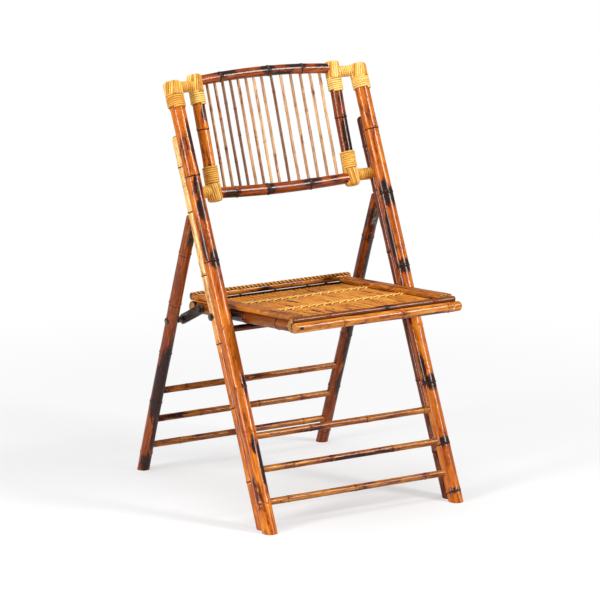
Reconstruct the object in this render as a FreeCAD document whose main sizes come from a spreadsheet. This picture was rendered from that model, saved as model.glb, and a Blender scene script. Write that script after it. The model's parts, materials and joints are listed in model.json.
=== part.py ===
import FreeCAD, Part
import math
import os
import Sketcher

Vector = FreeCAD.Vector
Placement = FreeCAD.Placement
Rotation = FreeCAD.Rotation
AT_ORIGIN = Placement()
NO_TURN = Rotation()
X_AXIS = Vector(1, 0, 0)
Y_AXIS = Vector(0, 1, 0)
Z_AXIS = Vector(0, 0, 1)

# A folding chair of burnt bamboo. Millimetres and degrees. X runs across the chair, the sitter
# faces -Y, and Z is up. Left and right are those of a viewer who stands in front of the chair.

# Driving dimensions
size = {
    # fits shared by all joints
    "seat_gap": 0.3,
    "socket_clearance": 0.1,
    "running_clearance": 0.05,
    # front poles and the thinner poles behind them
    "pole_diameter": 33.0,
    "pole_spacing": 463.0,
    "pole_lean": 25.0,
    "pole_tip": 9.3,
    "backing_diameter": 24.0,
    "backing_above_panel_foot": 134.0,
    "backing_tip_radius": 9.0,
    "nail_diameter": 4.0,
    "nail_height_lower": 100.0,
    "nail_below_hinge": 111.8,
    "nail_below_tip": 56.0,
    # front rungs and stretcher, heights along the pole
    "front_rung_diameter": 15.0,
    "front_rung_lower_height": 64.5,
    "front_rung_middle_height": 134.6,
    "front_rung_upper_height": 206.3,
    "stretcher_diameter": 14.0,
    "stretcher_below_pivot": 36.0,
    # back panel
    "panel_tilt": 5.0,
    "panel_base_height": 742.0,
    "panel_height": 243.5,
    "stile_diameter": 27.0,
    "stile_inset": 59.5,
    "stile_lower_end": 15.0,
    "stile_upper_end": 12.0,
    "top_rail_diameter": 23.0,
    "top_rail_bow": 9.0,
    "bottom_rail_diameter": 25.0,
    "bottom_rail_bow": 5.0,
    "spindle_diameter": 6.6,
    "spindle_socket_depth": 8.0,
    "spindle_count": 14,
    "narrow_gap_count": 7,
    "narrow_pitch": 19.4,
    "first_spindle_inset": 28.0,
    "last_spindle_inset": 34.5,
    "top_connector_diameter": 18.0,
    "top_connector_drop": 9.9,
    "bottom_connector_diameter": 20.0,
    "bottom_connector_rise": 4.0,
    # cane windings
    "cane_diameter": 3.4,
    "cane_gap": 0.8,
    "pole_winding_turns": 7,
    "stile_top_winding_turns": 6,
    "stile_bottom_winding_turns": 9,
    # rear legs and their rungs, heights along the leg
    "leg_diameter": 27.5,
    "leg_lean": 21.0,
    "leg_foot_distance": 565.0,
    "leg_tip_height": 20.0,
    "rear_rung_diameter": 15.0,
    "rear_rung_lower_height": 65.3,
    "rear_rung_middle_height": 135.0,
    "rear_rung_upper_height": 211.0,
    # butt hinges at the head of the rear legs
    "leaf_width": 14.0,
    "leaf_length": 46.0,
    "leaf_thickness": 1.5,
    "barrel_diameter": 6.0,
    "hinge_pin_diameter": 3.0,
    "hinge_pin_head_diameter": 4.6,
    "hinge_pin_head_length": 1.0,
    "middle_knuckle_share": 0.36,
    "screw_diameter": 3.0,
    "screw_head_diameter": 5.6,
    "screw_head_length": 1.2,
    "screw_tip_margin": 1.0,
    "screw_first_distance": 14.0,
    "screw_end_margin": 6.0,
    "screw_count": 3,
    # seat, lengths measured from its pivot
    "seat_pivot_height": 476.0,
    "seat_tilt": 6.0,
    "side_rail_diameter": 29.0,
    "seat_side_clearance": 15.0,
    "nosing_diameter": 22.0,
    "nosing_reach": 275.6,
    "nosing_drop": 2.1,
    "nosing_overhang": 8.0,
    "front_trim_diameter": 14.0,
    "trim_setback": 11.6,
    "rear_rail_diameter": 28.0,
    "rear_rail_reach": 165.0,
    "rear_bar_diameter": 18.0,
    "rail_flat_depth": 1.2,
    "board_thickness": 9.5,
    "board_width": 32.0,
    "slat_pitch": 9.6,
    "slat_gap": 1.2,
    "slat_thickness": 5.0,
    "slat_crown_radius": 7.0,
    "slat_drop": 9.8,
    "slat_rear_gap": 11.6,
    "cross_bar_diameter": 14.0,
    "end_bar_inset": 10.0,
    "front_cane_row_reach": 109.0,
    "rear_cane_row_reach": 38.0,
    "cane_row_width": 22.0,
    "cane_row_thickness": 1.0,
    # seat pivot bolts
    "pivot_bolt_diameter": 8.0,
    "pivot_head_diameter": 16.0,
    "pivot_head_length": 3.5,
    "pivot_spacer_diameter": 16.0,
    "pivot_nut_diameter": 14.0,
    "pivot_nut_length": 6.0,
    # links between seat and rear legs
    "link_inset": 46.4,
    "link_drop": 62.27,
    "strap_width": 22.0,
    "strap_thickness": 4.0,
    "strap_stand_off": 3.0,
    "rivet_diameter": 6.0,
    "rivet_head_diameter": 14.0,
    "rivet_head_length": 3.0,
    "anchor_head_length": 2.2,
    "head_edge": 1.0,
}


def radians(name):
    return math.radians(size[name])


def half(name):
    return size[name] / 2


# Derived sizes: the front frame. Its plane holds the pole axes. Behind means along the plane's normal.
gap = size["seat_gap"]
running = size["running_clearance"]
size["panel_lean"] = size["pole_lean"] - size["panel_tilt"]
size["stile_spacing"] = size["pole_spacing"] - 2 * size["stile_inset"]
size["top_connector_height"] = size["panel_base_height"] + (
    size["panel_height"] - size["top_connector_drop"]
) * math.cos(radians("panel_tilt"))
size["pole_length"] = size["top_connector_height"] + size["pole_tip"]
size["backing_length"] = size["panel_base_height"] + size["backing_above_panel_foot"]
size["stretcher_height"] = size["seat_pivot_height"] - size["stretcher_below_pivot"]
size["pole_inner_face"] = half("pole_spacing") - half("pole_diameter")
size["backing_offset"] = half("pole_diameter") + half("backing_diameter") + gap
size["pole_foot_run"] = size["pole_diameter"]
size["pole_foot_rise"] = size["pole_diameter"] * math.tan(radians("pole_lean"))
size["backing_start"] = size["backing_offset"] * math.tan(radians("pole_lean"))
size["backing_foot_run"] = size["backing_diameter"]
size["backing_foot_rise"] = size["backing_diameter"] * math.tan(radians("pole_lean"))
size["rung_length"] = size["pole_spacing"] - 2 * gap
size["rung_socket_diameter"] = size["front_rung_diameter"] + 2 * size["socket_clearance"]
size["stretcher_socket_diameter"] = size["stretcher_diameter"] + 2 * size["socket_clearance"]
size["nail_length"] = size["backing_offset"] + half("backing_diameter") - gap
size["nail_bore_diameter"] = size["nail_diameter"] + 2 * size["socket_clearance"]

# Derived sizes: the hinge stands off both members by the radius of its barrel.
size["barrel_stand_off"] = half("barrel_diameter") + gap
size["backing_flat"] = math.sqrt(half("backing_diameter") ** 2 - half("leaf_width") ** 2)
size["leg_flat"] = math.sqrt(half("leg_diameter") ** 2 - half("leaf_width") ** 2)
size["hinge_behind_pole"] = size["backing_offset"] + size["backing_flat"] + size["barrel_stand_off"]
size["hinge_before_leg"] = size["leg_flat"] + size["barrel_stand_off"]


def side_direction(lean):
    """Unit vector that leans back from the vertical, as (y, z)."""
    return math.sin(math.radians(lean)), math.cos(math.radians(lean))


def line_meeting(point_a, direction_a, point_b, direction_b):
    """Distances along two lines of the side view to the point where they meet."""
    across = point_b[0] - point_a[0]
    up = point_b[1] - point_a[1]
    turn = direction_a[0] * direction_b[1] - direction_a[1] * direction_b[0]
    along_a = (across * direction_b[1] - up * direction_b[0]) / turn
    along_b = (across * direction_a[1] - up * direction_a[0]) / turn
    return along_a, along_b


pole_up = side_direction(size["pole_lean"])
pole_back = (pole_up[1], -pole_up[0])
leg_up = side_direction(-size["leg_lean"])
leg_back = (leg_up[1], -leg_up[0])
behind_pole = size["hinge_behind_pole"]
before_leg = size["hinge_before_leg"]
pole_side_start = (pole_back[0] * behind_pole, pole_back[1] * behind_pole)
leg_side_start = (
    size["leg_foot_distance"] - leg_back[0] * before_leg,
    -leg_back[1] * before_leg,
)
meeting = line_meeting(pole_side_start, pole_up, leg_side_start, leg_up)
size["hinge_pole_height"] = meeting[0]
size["hinge_leg_height"] = meeting[1]
size["hinge_angle"] = size["pole_lean"] + size["leg_lean"]
size["nail_height_middle"] = size["hinge_pole_height"] - size["nail_below_hinge"]
size["nail_height_upper"] = size["backing_length"] - size["nail_below_tip"]

# Derived sizes: the rear leg's head is cut parallel to the backing pole, which stops the opening.
opening = radians("hinge_angle")
stop_forward = size["barrel_stand_off"] + size["backing_flat"] - half("backing_diameter") - gap
size["stop_low_y"] = -before_leg - stop_forward * math.cos(opening)
size["stop_low_z"] = size["hinge_leg_height"] + stop_forward * math.sin(opening)
size["stop_high_y"] = size["stop_low_y"] + size["leg_diameter"] * 2 * math.sin(opening)
size["stop_high_z"] = size["stop_low_z"] + size["leg_diameter"] * 2 * math.cos(opening)
size["leg_top"] = size["hinge_leg_height"] + size["leg_tip_height"]
size["leg_foot_run"] = size["leg_diameter"]
size["leg_foot_rise"] = size["leg_diameter"] * math.tan(radians("leg_lean"))
size["rear_socket_diameter"] = size["rear_rung_diameter"] + 2 * size["socket_clearance"]
size["screw_bore_diameter"] = size["screw_diameter"] + 2 * size["socket_clearance"]
size["backing_screw_length"] = size["backing_flat"] + size["leaf_thickness"] - size["screw_tip_margin"]
size["leg_screw_length"] = size["leg_flat"] + size["leaf_thickness"] - size["screw_tip_margin"]
size["hinge_bore_diameter"] = size["hinge_pin_diameter"] + 2 * running
size["leaf_start"] = size["barrel_stand_off"] + gap
size["screw_pitch"] = (
    size["leaf_length"] - size["screw_first_distance"] - size["screw_end_margin"]
) / (size["screw_count"] - 1)
size["leaf_bed_end"] = size["leaf_length"] + gap
size["middle_knuckle_length"] = size["leaf_width"] * size["middle_knuckle_share"]
size["outer_knuckle_length"] = (size["leaf_width"] - size["middle_knuckle_length"]) / 2 - gap

# Derived sizes: the back panel stands on the line of the backing poles and tilts to the pole tops.
size["stile_length"] = size["panel_height"] + size["stile_lower_end"] + size["stile_upper_end"]
size["top_rail_bend"] = (half("stile_spacing") ** 2 + size["top_rail_bow"] ** 2) / (2 * size["top_rail_bow"])
size["bottom_rail_bend"] = (
    (half("stile_spacing") ** 2 + size["bottom_rail_bow"] ** 2) / (2 * size["bottom_rail_bow"])
)
size["top_rail_sweep"] = 2 * math.degrees(math.asin(half("stile_spacing") / size["top_rail_bend"]))
size["bottom_rail_sweep"] = 2 * math.degrees(math.asin(half("stile_spacing") / size["bottom_rail_bend"]))
size["spindle_bore_diameter"] = size["spindle_diameter"] + 2 * size["socket_clearance"]
size["stile_envelope_diameter"] = size["stile_diameter"] + 2 * gap
size["pole_envelope_diameter"] = size["pole_diameter"] + 2 * gap
size["backing_envelope_diameter"] = size["backing_diameter"] + 2 * gap
size["connector_length"] = half("pole_spacing") - half("stile_spacing")
size["bottom_connector_height"] = size["panel_base_height"] + size["bottom_connector_rise"]
size["stile_at_top_connector"] = size["backing_offset"] - (
    size["top_connector_height"] - size["panel_base_height"]
) * math.tan(radians("panel_tilt"))
size["cane_pitch"] = size["cane_diameter"] + size["cane_gap"]
size["winding_clearance"] = size["cane_diameter"] + 3 * gap

# Derived sizes: the seat, in its own frame at the pivot, with Y to the rear and Z square to the rails.
size["seat_half_width"] = size["pole_inner_face"] - size["seat_side_clearance"]
size["side_rail_spacing"] = 2 * size["seat_half_width"] - size["side_rail_diameter"]
size["link_seat_reach"] = size["rear_rail_reach"] - size["link_inset"]
size["trim_reach"] = size["nosing_reach"] - size["trim_setback"]
trim_contact = half("nosing_diameter") + half("front_trim_diameter") + gap
size["trim_rise"] = math.sqrt(trim_contact ** 2 - size["trim_setback"] ** 2) - size["nosing_drop"]
size["side_rail_front"] = -(size["nosing_reach"] - half("nosing_diameter") - gap)
size["side_rail_rear"] = size["rear_rail_reach"] - half("rear_rail_diameter") - gap
size["side_rail_length"] = size["side_rail_rear"] - size["side_rail_front"]
size["seat_width"] = 2 * size["seat_half_width"]
size["nosing_length"] = size["seat_width"] + size["nosing_overhang"]
size["rear_bar_rise"] = half("rear_rail_diameter") + half("rear_bar_diameter") + gap
size["board_bottom"] = half("side_rail_diameter") - size["rail_flat_depth"]
size["board_front"] = -(size["trim_reach"] - half("front_trim_diameter") - gap)
size["board_rear"] = size["rear_rail_reach"] - half("rear_bar_diameter") - gap
size["board_length"] = size["board_rear"] - size["board_front"]
size["notch_rear"] = size["board_front"]
size["notch_bottom"] = size["trim_rise"] - half("front_trim_diameter") - gap
size["slat_top"] = size["board_bottom"] + size["board_thickness"] - size["slat_drop"]
size["slat_bottom"] = size["slat_top"] - size["slat_thickness"]
size["slat_width"] = size["slat_pitch"] - size["slat_gap"]
size["slat_rear"] = size["board_rear"] - size["slat_rear_gap"]
size["slat_length"] = size["slat_rear"] - size["board_front"]
size["slat_zone"] = size["seat_width"] - 2 * size["board_width"]
size["cross_bar_rise"] = size["slat_bottom"] - gap - half("cross_bar_diameter")
size["cross_bar_length"] = size["side_rail_spacing"] - 2 * gap
size["cross_socket_diameter"] = size["cross_bar_diameter"] + 2 * size["socket_clearance"]
size["cane_row_length"] = size["slat_zone"] - 2 * gap

# Derived sizes: pivots
size["pivot_bore_diameter"] = size["pivot_bolt_diameter"] + 2 * running
size["rivet_bore_diameter"] = size["rivet_diameter"] + 2 * running
size["side_rail_inner_face"] = half("side_rail_spacing") - half("side_rail_diameter")
size["strap_inner_face"] = size["seat_half_width"] + size["strap_stand_off"]
size["strap_outer_face"] = size["strap_inner_face"] + size["strap_thickness"]
size["leg_inner_face"] = half("pole_spacing") - half("leg_diameter")
size["leg_outer_face"] = half("pole_spacing") + half("leg_diameter")
size["backing_inner_face"] = half("pole_spacing") - half("backing_diameter")
size["backing_outer_face"] = half("pole_spacing") + half("backing_diameter")

# Frames of the side view, before the origin is moved below the middle of the chair
seat_pivot = (
    pole_back[0] * size["backing_offset"] + pole_up[0] * size["seat_pivot_height"],
    pole_back[1] * size["backing_offset"] + pole_up[1] * size["seat_pivot_height"],
)
nosing_front = seat_pivot[0] - math.cos(radians("seat_tilt")) * size["nosing_reach"]
nosing_front -= math.sin(radians("seat_tilt")) * size["nosing_drop"] + half("nosing_diameter")
foot_rear = size["leg_foot_distance"] + half("leg_diameter") / math.cos(radians("leg_lean"))
middle = (nosing_front + foot_rear) / 2
link_seat_y = seat_pivot[0] + math.cos(radians("seat_tilt")) * size["link_seat_reach"]
link_seat_z = seat_pivot[1] - math.sin(radians("seat_tilt")) * size["link_seat_reach"]
link_seat_along_leg = (link_seat_y - size["leg_foot_distance"]) * leg_up[0] + link_seat_z * leg_up[1]
size["link_leg_height"] = link_seat_along_leg - size["link_drop"]


def lean_back(degrees):
    return Rotation(X_AXIS, -degrees)


front_frame = Placement(Vector(0, -middle, 0), lean_back(size["pole_lean"]))
rear_frame = Placement(Vector(0, size["leg_foot_distance"] - middle, 0), lean_back(-size["leg_lean"]))
seat_frame = Placement(Vector(0, seat_pivot[0] - middle, seat_pivot[1]), lean_back(size["seat_tilt"]))
panel_origin = front_frame.multVec(Vector(0, size["backing_offset"], size["panel_base_height"]))
panel_frame = Placement(panel_origin, lean_back(size["panel_lean"]))
hinge_point = front_frame.multVec(Vector(0, size["hinge_behind_pole"], size["hinge_pole_height"]))
link_seat_point = Vector(0, link_seat_y - middle, link_seat_z)
link_leg_point = rear_frame.multVec(Vector(0, 0, size["link_leg_height"]))
link_run = link_leg_point - link_seat_point
size["strap_length"] = link_run.Length
link_frame = Placement(link_seat_point, Rotation(X_AXIS, math.degrees(math.atan2(-link_run.y, link_run.z))))

# The document and its sheet of sizes
doc = FreeCAD.newDocument("bamboo_folding_chair")
sheet = doc.addObject("Spreadsheet::Sheet", "dims")
for row, (name, value) in enumerate(size.items(), start=1):
    sheet.set(f"A{row}", name)
    sheet.set(f"B{row}", repr(value))
    sheet.setAlias(f"B{row}", name)
doc.recompute()

parts = {}
SIDES = {"left": -1, "right": 1}


def bind(thing, **formulas):
    """Bind properties of an object to the sheet; a formula names its sizes with a leading dims."""
    for key, formula in formulas.items():
        thing.setExpression(key, formula)
    return thing


def keep(label, thing, place):
    """Give a finished sub-part its label and its place, and list it as a node."""
    thing.Label = label
    thing.Placement = place
    parts[label] = thing
    return thing


def primitive(kind, name, place, **formulas):
    thing = doc.addObject("Part::" + kind, name)
    thing.Placement = place
    return bind(thing, **formulas)


def gather(kind, name, shapes):
    """A MultiFuse joins its shapes to one solid, a Compound keeps them as separate solids."""
    group = doc.addObject("Part::" + kind, name)
    if kind == "Compound":
        group.Links = shapes
    else:
        group.Shapes = shapes
    return group


def cut(name, base, tool):
    result = doc.addObject("Part::Cut", name)
    result.Base = base
    result.Tool = tool
    return result


def at(x, y, z, rotation=NO_TURN):
    return Placement(Vector(x, y, z), rotation)


def outward(side):
    """Turns an upright cylinder so that it runs from the middle of the chair to one side."""
    return Rotation(Y_AXIS, 90 * side)


# Culms: round bamboo members as bodies, drawn upright along their own axis
ON_AXIS = "0 mm"


def origin_plane(body, role):
    return next(plane for plane in body.Origin.OriginFeatures if plane.Role == role)


def sketch_on(body, name, role):
    sketch = body.newObject("Sketcher::SketchObject", name)
    sketch.AttachmentSupport = [(origin_plane(body, role), "")]
    sketch.MapMode = "FlatFace"
    return sketch


def hold_point(sketch, element, vertex, across, up):
    """Fix one vertex of a sketch to two formulas."""
    for kind, formula in (("DistanceX", across), ("DistanceY", up)):
        index = sketch.addConstraint(Sketcher.Constraint(kind, element, vertex, 1.0))
        sketch.setExpression(f"Constraints[{index}]", formula)


def draw_circle(sketch, diameter, across=ON_AXIS, up=ON_AXIS):
    circle = sketch.addGeometry(Part.Circle(Vector(1, 1, 0), Z_AXIS, 1))
    hold_point(sketch, circle, 3, across, up)
    index = sketch.addConstraint(Sketcher.Constraint("Diameter", circle, 2.0))
    sketch.setExpression(f"Constraints[{index}]", diameter)


def draw_outline(sketch, corners):
    """A closed outline of straight lines, each corner a pair of formulas."""
    count = len(corners)
    for index in range(count):
        turn = 2 * math.pi / count
        start = Vector(math.cos(index * turn), math.sin(index * turn), 0)
        end = Vector(math.cos((index + 1) * turn), math.sin((index + 1) * turn), 0)
        sketch.addGeometry(Part.LineSegment(start, end))
    for index in range(count):
        sketch.addConstraint(Sketcher.Constraint("Coincident", index, 2, (index + 1) % count, 1))
    for index, (across, up) in enumerate(corners):
        hold_point(sketch, index, 1, across, up)


def culm(name, diameter, start, end):
    """A straight round member from start to end along its axis."""
    body = doc.addObject("PartDesign::Body", name)
    section = sketch_on(body, name + "_section", "XY_Plane")
    draw_circle(section, diameter)
    section.setExpression("AttachmentOffset.Base.z", start)
    pad = body.newObject("PartDesign::Pad", name + "_pad")
    pad.Profile = section
    bind(pad, Length=f"({end}) - ({start})")
    return body


def pocket(body, name, sketch, depth=None, reverse=False):
    """A pocket right through both ways, or to one side when a depth is given."""
    feature = body.newObject("PartDesign::Pocket", name)
    feature.Profile = sketch
    if depth is None:
        feature.Type = "ThroughAll"
        feature.Midplane = True
    else:
        feature.Type = "Length"
        feature.Reversed = reverse
        bind(feature, Length=depth)
    return feature


def socket(body, name, height, diameter, depth, side):
    """A blind hole from the axis of a culm out through its inner side."""
    sketch = sketch_on(body, name + "_sketch", "YZ_Plane")
    draw_circle(sketch, diameter, up=height)
    return pocket(body, name, sketch, depth, reverse=side < 0)


def bore(body, name, height, diameter):
    """A hole right through a culm along X."""
    sketch = sketch_on(body, name + "_sketch", "YZ_Plane")
    draw_circle(sketch, diameter, up=height)
    return pocket(body, name, sketch)


def side_cut(body, name, corners):
    """A cut right across a culm, drawn in the side view."""
    sketch = sketch_on(body, name + "_sketch", "YZ_Plane")
    draw_outline(sketch, corners)
    return pocket(body, name, sketch)


def foot_cut(body, name, run, rise):
    """Cuts the foot level with the floor; rise is negative on a member that leans forward."""
    corners = [
        (f"-{run}", f"-({rise})"),
        (run, rise),
        (run, "-2 * dims.pole_diameter"),
        (f"-{run}", "-2 * dims.pole_diameter"),
    ]
    return side_cut(body, name, corners)


# Front poles, with the thinner poles nailed along their backs
LEVELS = ("lower", "middle", "upper")


def cross_hole(body, name, height, diameter, depth, backward):
    """A blind hole from the axis of a culm out through its rear or its front."""
    sketch = sketch_on(body, name + "_sketch", "XZ_Plane")
    draw_circle(sketch, diameter, up=height)
    return pocket(body, name, sketch, depth, reverse=not backward)


def make_front_pole(word, side):
    name = "front_pole_" + word
    body = culm(name, "dims.pole_diameter", "-dims.pole_foot_rise", "dims.pole_length")
    foot_cut(body, name + "_foot", "dims.pole_foot_run", "dims.pole_foot_rise")
    reach = "dims.pole_diameter"
    for level in LEVELS:
        rung_height = f"dims.front_rung_{level}_height"
        socket(body, f"{name}_{level}_socket", rung_height, "dims.rung_socket_diameter", reach, side)
        nail_height = f"dims.nail_height_{level}"
        cross_hole(body, f"{name}_{level}_nail_hole", nail_height, "dims.nail_bore_diameter", reach, True)
    stretcher = "dims.stretcher_height"
    socket(body, name + "_stretcher_socket", stretcher, "dims.stretcher_socket_diameter", reach, side)
    keep(name, body, front_frame * at(side * half("pole_spacing"), 0, 0))


def make_backing_pole(word, side):
    name = "backing_pole_" + word
    start = "dims.backing_start - dims.backing_foot_rise"
    body = culm(name, "dims.backing_diameter", start, "dims.backing_length")
    corners = [
        ("-dims.backing_foot_run", "dims.backing_start - dims.backing_foot_rise"),
        ("dims.backing_foot_run", "dims.backing_start + dims.backing_foot_rise"),
        ("dims.backing_foot_run", "-dims.pole_diameter"),
        ("-dims.backing_foot_run", "-dims.pole_diameter"),
    ]
    side_cut(body, name + "_foot", corners)
    bore(body, name + "_pivot_bore", "dims.seat_pivot_height", "dims.pivot_bore_diameter")
    reach = "dims.backing_diameter"
    for level in LEVELS:
        nail_height = f"dims.nail_height_{level}"
        hole = f"{name}_{level}_nail_hole"
        cross_hole(body, hole + "_rear", nail_height, "dims.nail_bore_diameter", reach, True)
        cross_hole(body, hole + "_front", nail_height, "dims.nail_bore_diameter", reach, False)
    for index in range(size["screw_count"]):
        height = f"dims.hinge_pole_height - dims.screw_first_distance - {index} * dims.screw_pitch"
        cross_hole(body, f"{name}_screw_hole_{index + 1}", height, "dims.screw_bore_diameter", reach, True)
    corners = [
        ("dims.backing_flat", "dims.hinge_pole_height - dims.leaf_bed_end"),
        ("dims.backing_diameter", "dims.hinge_pole_height - dims.leaf_bed_end"),
        ("dims.backing_diameter", "dims.hinge_pole_height + dims.barrel_diameter"),
        ("dims.backing_flat", "dims.hinge_pole_height + dims.barrel_diameter"),
    ]
    side_cut(body, name + "_hinge_flat", corners)
    round_top(body, name + "_tip", "dims.backing_tip_radius")
    keep(name, body, front_frame * at(side * half("pole_spacing"), size["backing_offset"], 0))


def round_top(body, name, radius):
    """A fillet round the top end of a culm."""
    doc.recompute()
    last = body.Tip
    heights = [edge.BoundBox.ZMin for edge in last.Shape.Edges]
    top_edge = f"Edge{heights.index(max(heights)) + 1}"
    fillet = body.newObject("PartDesign::Fillet", name)
    fillet.Base = (last, [top_edge])
    bind(fillet, Radius=radius)


def make_nails():
    nails = []
    for word, side in SIDES.items():
        for level in LEVELS:
            place = at(side * half("pole_spacing"), gap, size[f"nail_height_{level}"], Rotation(X_AXIS, -90))
            nail = primitive(
                "Cylinder", f"nail_{word}_{level}", place,
                Radius="dims.nail_diameter / 2", Height="dims.nail_length",
            )
            nails.append(nail)
    keep("backing_nails", gather("Compound", "backing_nails", nails), front_frame)


# Bars that run across the chair
def make_cross_member(label, frame, reach, height, diameter, length, shift=0.0):
    """A round bar along X, centred but for a shift towards the right."""
    start = at(shift - half(length), reach, height, outward(1))
    bar = primitive("Cylinder", label, AT_ORIGIN, Radius=f"dims.{diameter} / 2", Height=f"dims.{length}")
    return keep(label, bar, frame * start)


def make_rungs():
    for level in LEVELS:
        front_height = size[f"front_rung_{level}_height"]
        rear_height = size[f"rear_rung_{level}_height"]
        front_name = f"front_rung_{level}"
        rear_name = f"rear_rung_{level}"
        make_cross_member(front_name, front_frame, 0, front_height, "front_rung_diameter", "rung_length")
        make_cross_member(rear_name, rear_frame, 0, rear_height, "rear_rung_diameter", "rung_length")
    height = size["stretcher_height"]
    make_cross_member("front_stretcher", front_frame, 0, height, "stretcher_diameter", "rung_length")


# Back panel
def spindle_positions():
    """Distances of the spindles from the middle, closer together in the left half."""
    first = size["first_spindle_inset"] - half("stile_spacing")
    last = half("stile_spacing") - size["last_spindle_inset"]
    narrow = size["narrow_gap_count"]
    wide_pitch = (last - first - narrow * size["narrow_pitch"]) / (size["spindle_count"] - 1 - narrow)
    places = []
    for index in range(size["spindle_count"]):
        narrow_gaps = min(index, narrow)
        wide_gaps = index - narrow_gaps
        places.append(first + narrow_gaps * size["narrow_pitch"] + wide_gaps * wide_pitch)
    return places


def rail_height(across, bend, bow):
    """Height of a bowed rail's axis above the line of its ends."""
    return math.sqrt(size[bend] ** 2 - across ** 2) - size[bend] + size[bow]


def spindle_ends(across):
    """Lower and upper end of a spindle, in the panel's frame."""
    low = -rail_height(across, "bottom_rail_bend", "bottom_rail_bow") + half("bottom_rail_diameter")
    high = size["panel_height"] + rail_height(across, "top_rail_bend", "top_rail_bow")
    high -= half("top_rail_diameter")
    return low - size["spindle_socket_depth"], high + size["spindle_socket_depth"]


def spindle_rods(name, diameter, margin):
    """Upright rods at the spindles' places, longer than a spindle by a margin at both ends."""
    rods = []
    for index, across in enumerate(spindle_positions(), start=1):
        low, high = spindle_ends(across)
        rod = primitive("Cylinder", f"{name}_{index}", at(across, 0, low - margin))
        bind(rod, Radius=f"dims.{diameter} / 2")
        rod.Height = high - low + 2 * margin
        rods.append(rod)
    return rods


def stile_envelopes(name):
    """The stiles with a clearance round them, which shape the ends of what meets them."""
    envelopes = []
    for word, side in SIDES.items():
        place = at(side * half("stile_spacing"), 0, -size["stile_lower_end"])
        envelope = primitive(
            "Cylinder", f"{name}_{word}", place,
            Radius="dims.stile_envelope_diameter / 2", Height="dims.stile_length",
        )
        envelopes.append(envelope)
    return envelopes


def make_back_rail(label, diameter, bend, sweep, base, rise):
    """A bowed rail, rise +1 for a crown upward and -1 for one downward, bored for the spindles."""
    lift = rise * (size[bend.replace("bend", "bow")] - size[bend])
    turn = Rotation(X_AXIS, 90) * Rotation(Z_AXIS, rise * 90 - size[sweep] / 2)
    bent = primitive(
        "Torus", label + "_bend", at(0, 0, base + lift, turn),
        Radius1=f"dims.{bend}", Radius2=f"dims.{diameter} / 2", Angle3=f"dims.{sweep}",
    )
    tools = spindle_rods(label + "_hole", "spindle_bore_diameter", gap) + stile_envelopes(label + "_cope")
    rail = cut(label, bent, gather("MultiFuse", label + "_tools", tools))
    keep(label, rail, panel_frame)


def make_back_panel():
    for word, side in SIDES.items():
        stile = primitive(
            "Cylinder", "back_stile_" + word, AT_ORIGIN,
            Radius="dims.stile_diameter / 2", Height="dims.stile_length",
        )
        place = at(side * half("stile_spacing"), 0, -size["stile_lower_end"])
        keep("back_stile_" + word, stile, panel_frame * place)
    make_back_rail("back_bottom_rail", "bottom_rail_diameter", "bottom_rail_bend", "bottom_rail_sweep", 0, -1)
    crown = size["panel_height"]
    make_back_rail("back_top_rail", "top_rail_diameter", "top_rail_bend", "top_rail_sweep", crown, 1)
    rods = spindle_rods("spindle", "spindle_diameter", 0)
    keep("back_spindles", gather("Compound", "back_spindles", rods), panel_frame)


def make_connector(label, side, reach, height, diameter, member):
    """A short bar from a stile to a pole, its ends hollowed to fit round both."""
    start = at(side * half("stile_spacing"), reach, height, outward(side))
    bar = primitive(
        "Cylinder", label + "_bar", start, Radius=f"dims.{diameter} / 2", Height="dims.connector_length",
    )
    stile_foot = at(0, size["backing_offset"], size["panel_base_height"], lean_back(-size["panel_tilt"]))
    stile_place = stile_foot * at(side * half("stile_spacing"), 0, -size["stile_length"])
    stile = primitive("Cylinder", label + "_stile_cope", stile_place)
    bind(stile, Radius="dims.stile_envelope_diameter / 2", Height="3 * dims.stile_length")
    member_reach = 0 if member == "pole" else size["backing_offset"]
    pole_place = at(side * half("pole_spacing"), member_reach, 0)
    pole = primitive("Cylinder", label + "_pole_cope", pole_place, Height="2 * dims.pole_length")
    bind(pole, Radius=f"dims.{member}_envelope_diameter / 2")
    connector = cut(label, bar, gather("MultiFuse", label + "_tools", [stile, pole]))
    keep(label, connector, front_frame)


def make_connectors():
    top_reach = size["stile_at_top_connector"] / 2
    top_height = size["top_connector_height"]
    low_reach = size["backing_offset"]
    low_height = size["bottom_connector_height"]
    for word, side in SIDES.items():
        top = "back_top_connector_" + word
        make_connector(top, side, top_reach, top_height, "top_connector_diameter", "pole")
        low = "back_bottom_connector_" + word
        make_connector(low, side, low_reach, low_height, "bottom_connector_diameter", "backing")


# Cane windings: one unbroken strand each, a helix of quarter turns joined by pairs of arcs
QUARTERS = 4
STRAND_SAMPLES = 6


def helix_point(radius, pitch, quarter):
    angle = quarter * math.pi / 2
    return Vector(radius * math.cos(angle), radius * math.sin(angle), pitch * quarter / QUARTERS)


def helix_tangent(radius, pitch, quarter):
    angle = quarter * math.pi / 2
    rise = pitch / (2 * math.pi)
    return Vector(-radius * math.sin(angle), radius * math.cos(angle), rise).normalize()


def arc_between(start, end, corner):
    """An arc that leaves start towards corner and reaches end from it."""
    chord_middle = (start + end) * 0.5
    half_chord = (end - start).Length / 2
    side_length = (corner - start).Length
    bend = math.acos(half_chord / side_length)
    crest = chord_middle + (corner - chord_middle) * (math.tan(bend / 2) / math.tan(bend))
    return Part.Arc(start, crest, end)


def quarter_arcs(start, start_direction, end, end_direction):
    span = end - start
    both = start_direction + end_direction
    spread = 2 * (1 - start_direction.dot(end_direction))
    reach = (math.sqrt(span.dot(both) ** 2 + spread * span.dot(span)) - span.dot(both)) / spread
    first_corner = start + start_direction * reach
    last_corner = end - end_direction * reach
    joint = (first_corner + last_corner) * 0.5
    return [arc_between(start, joint, first_corner), arc_between(joint, end, last_corner)]


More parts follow.
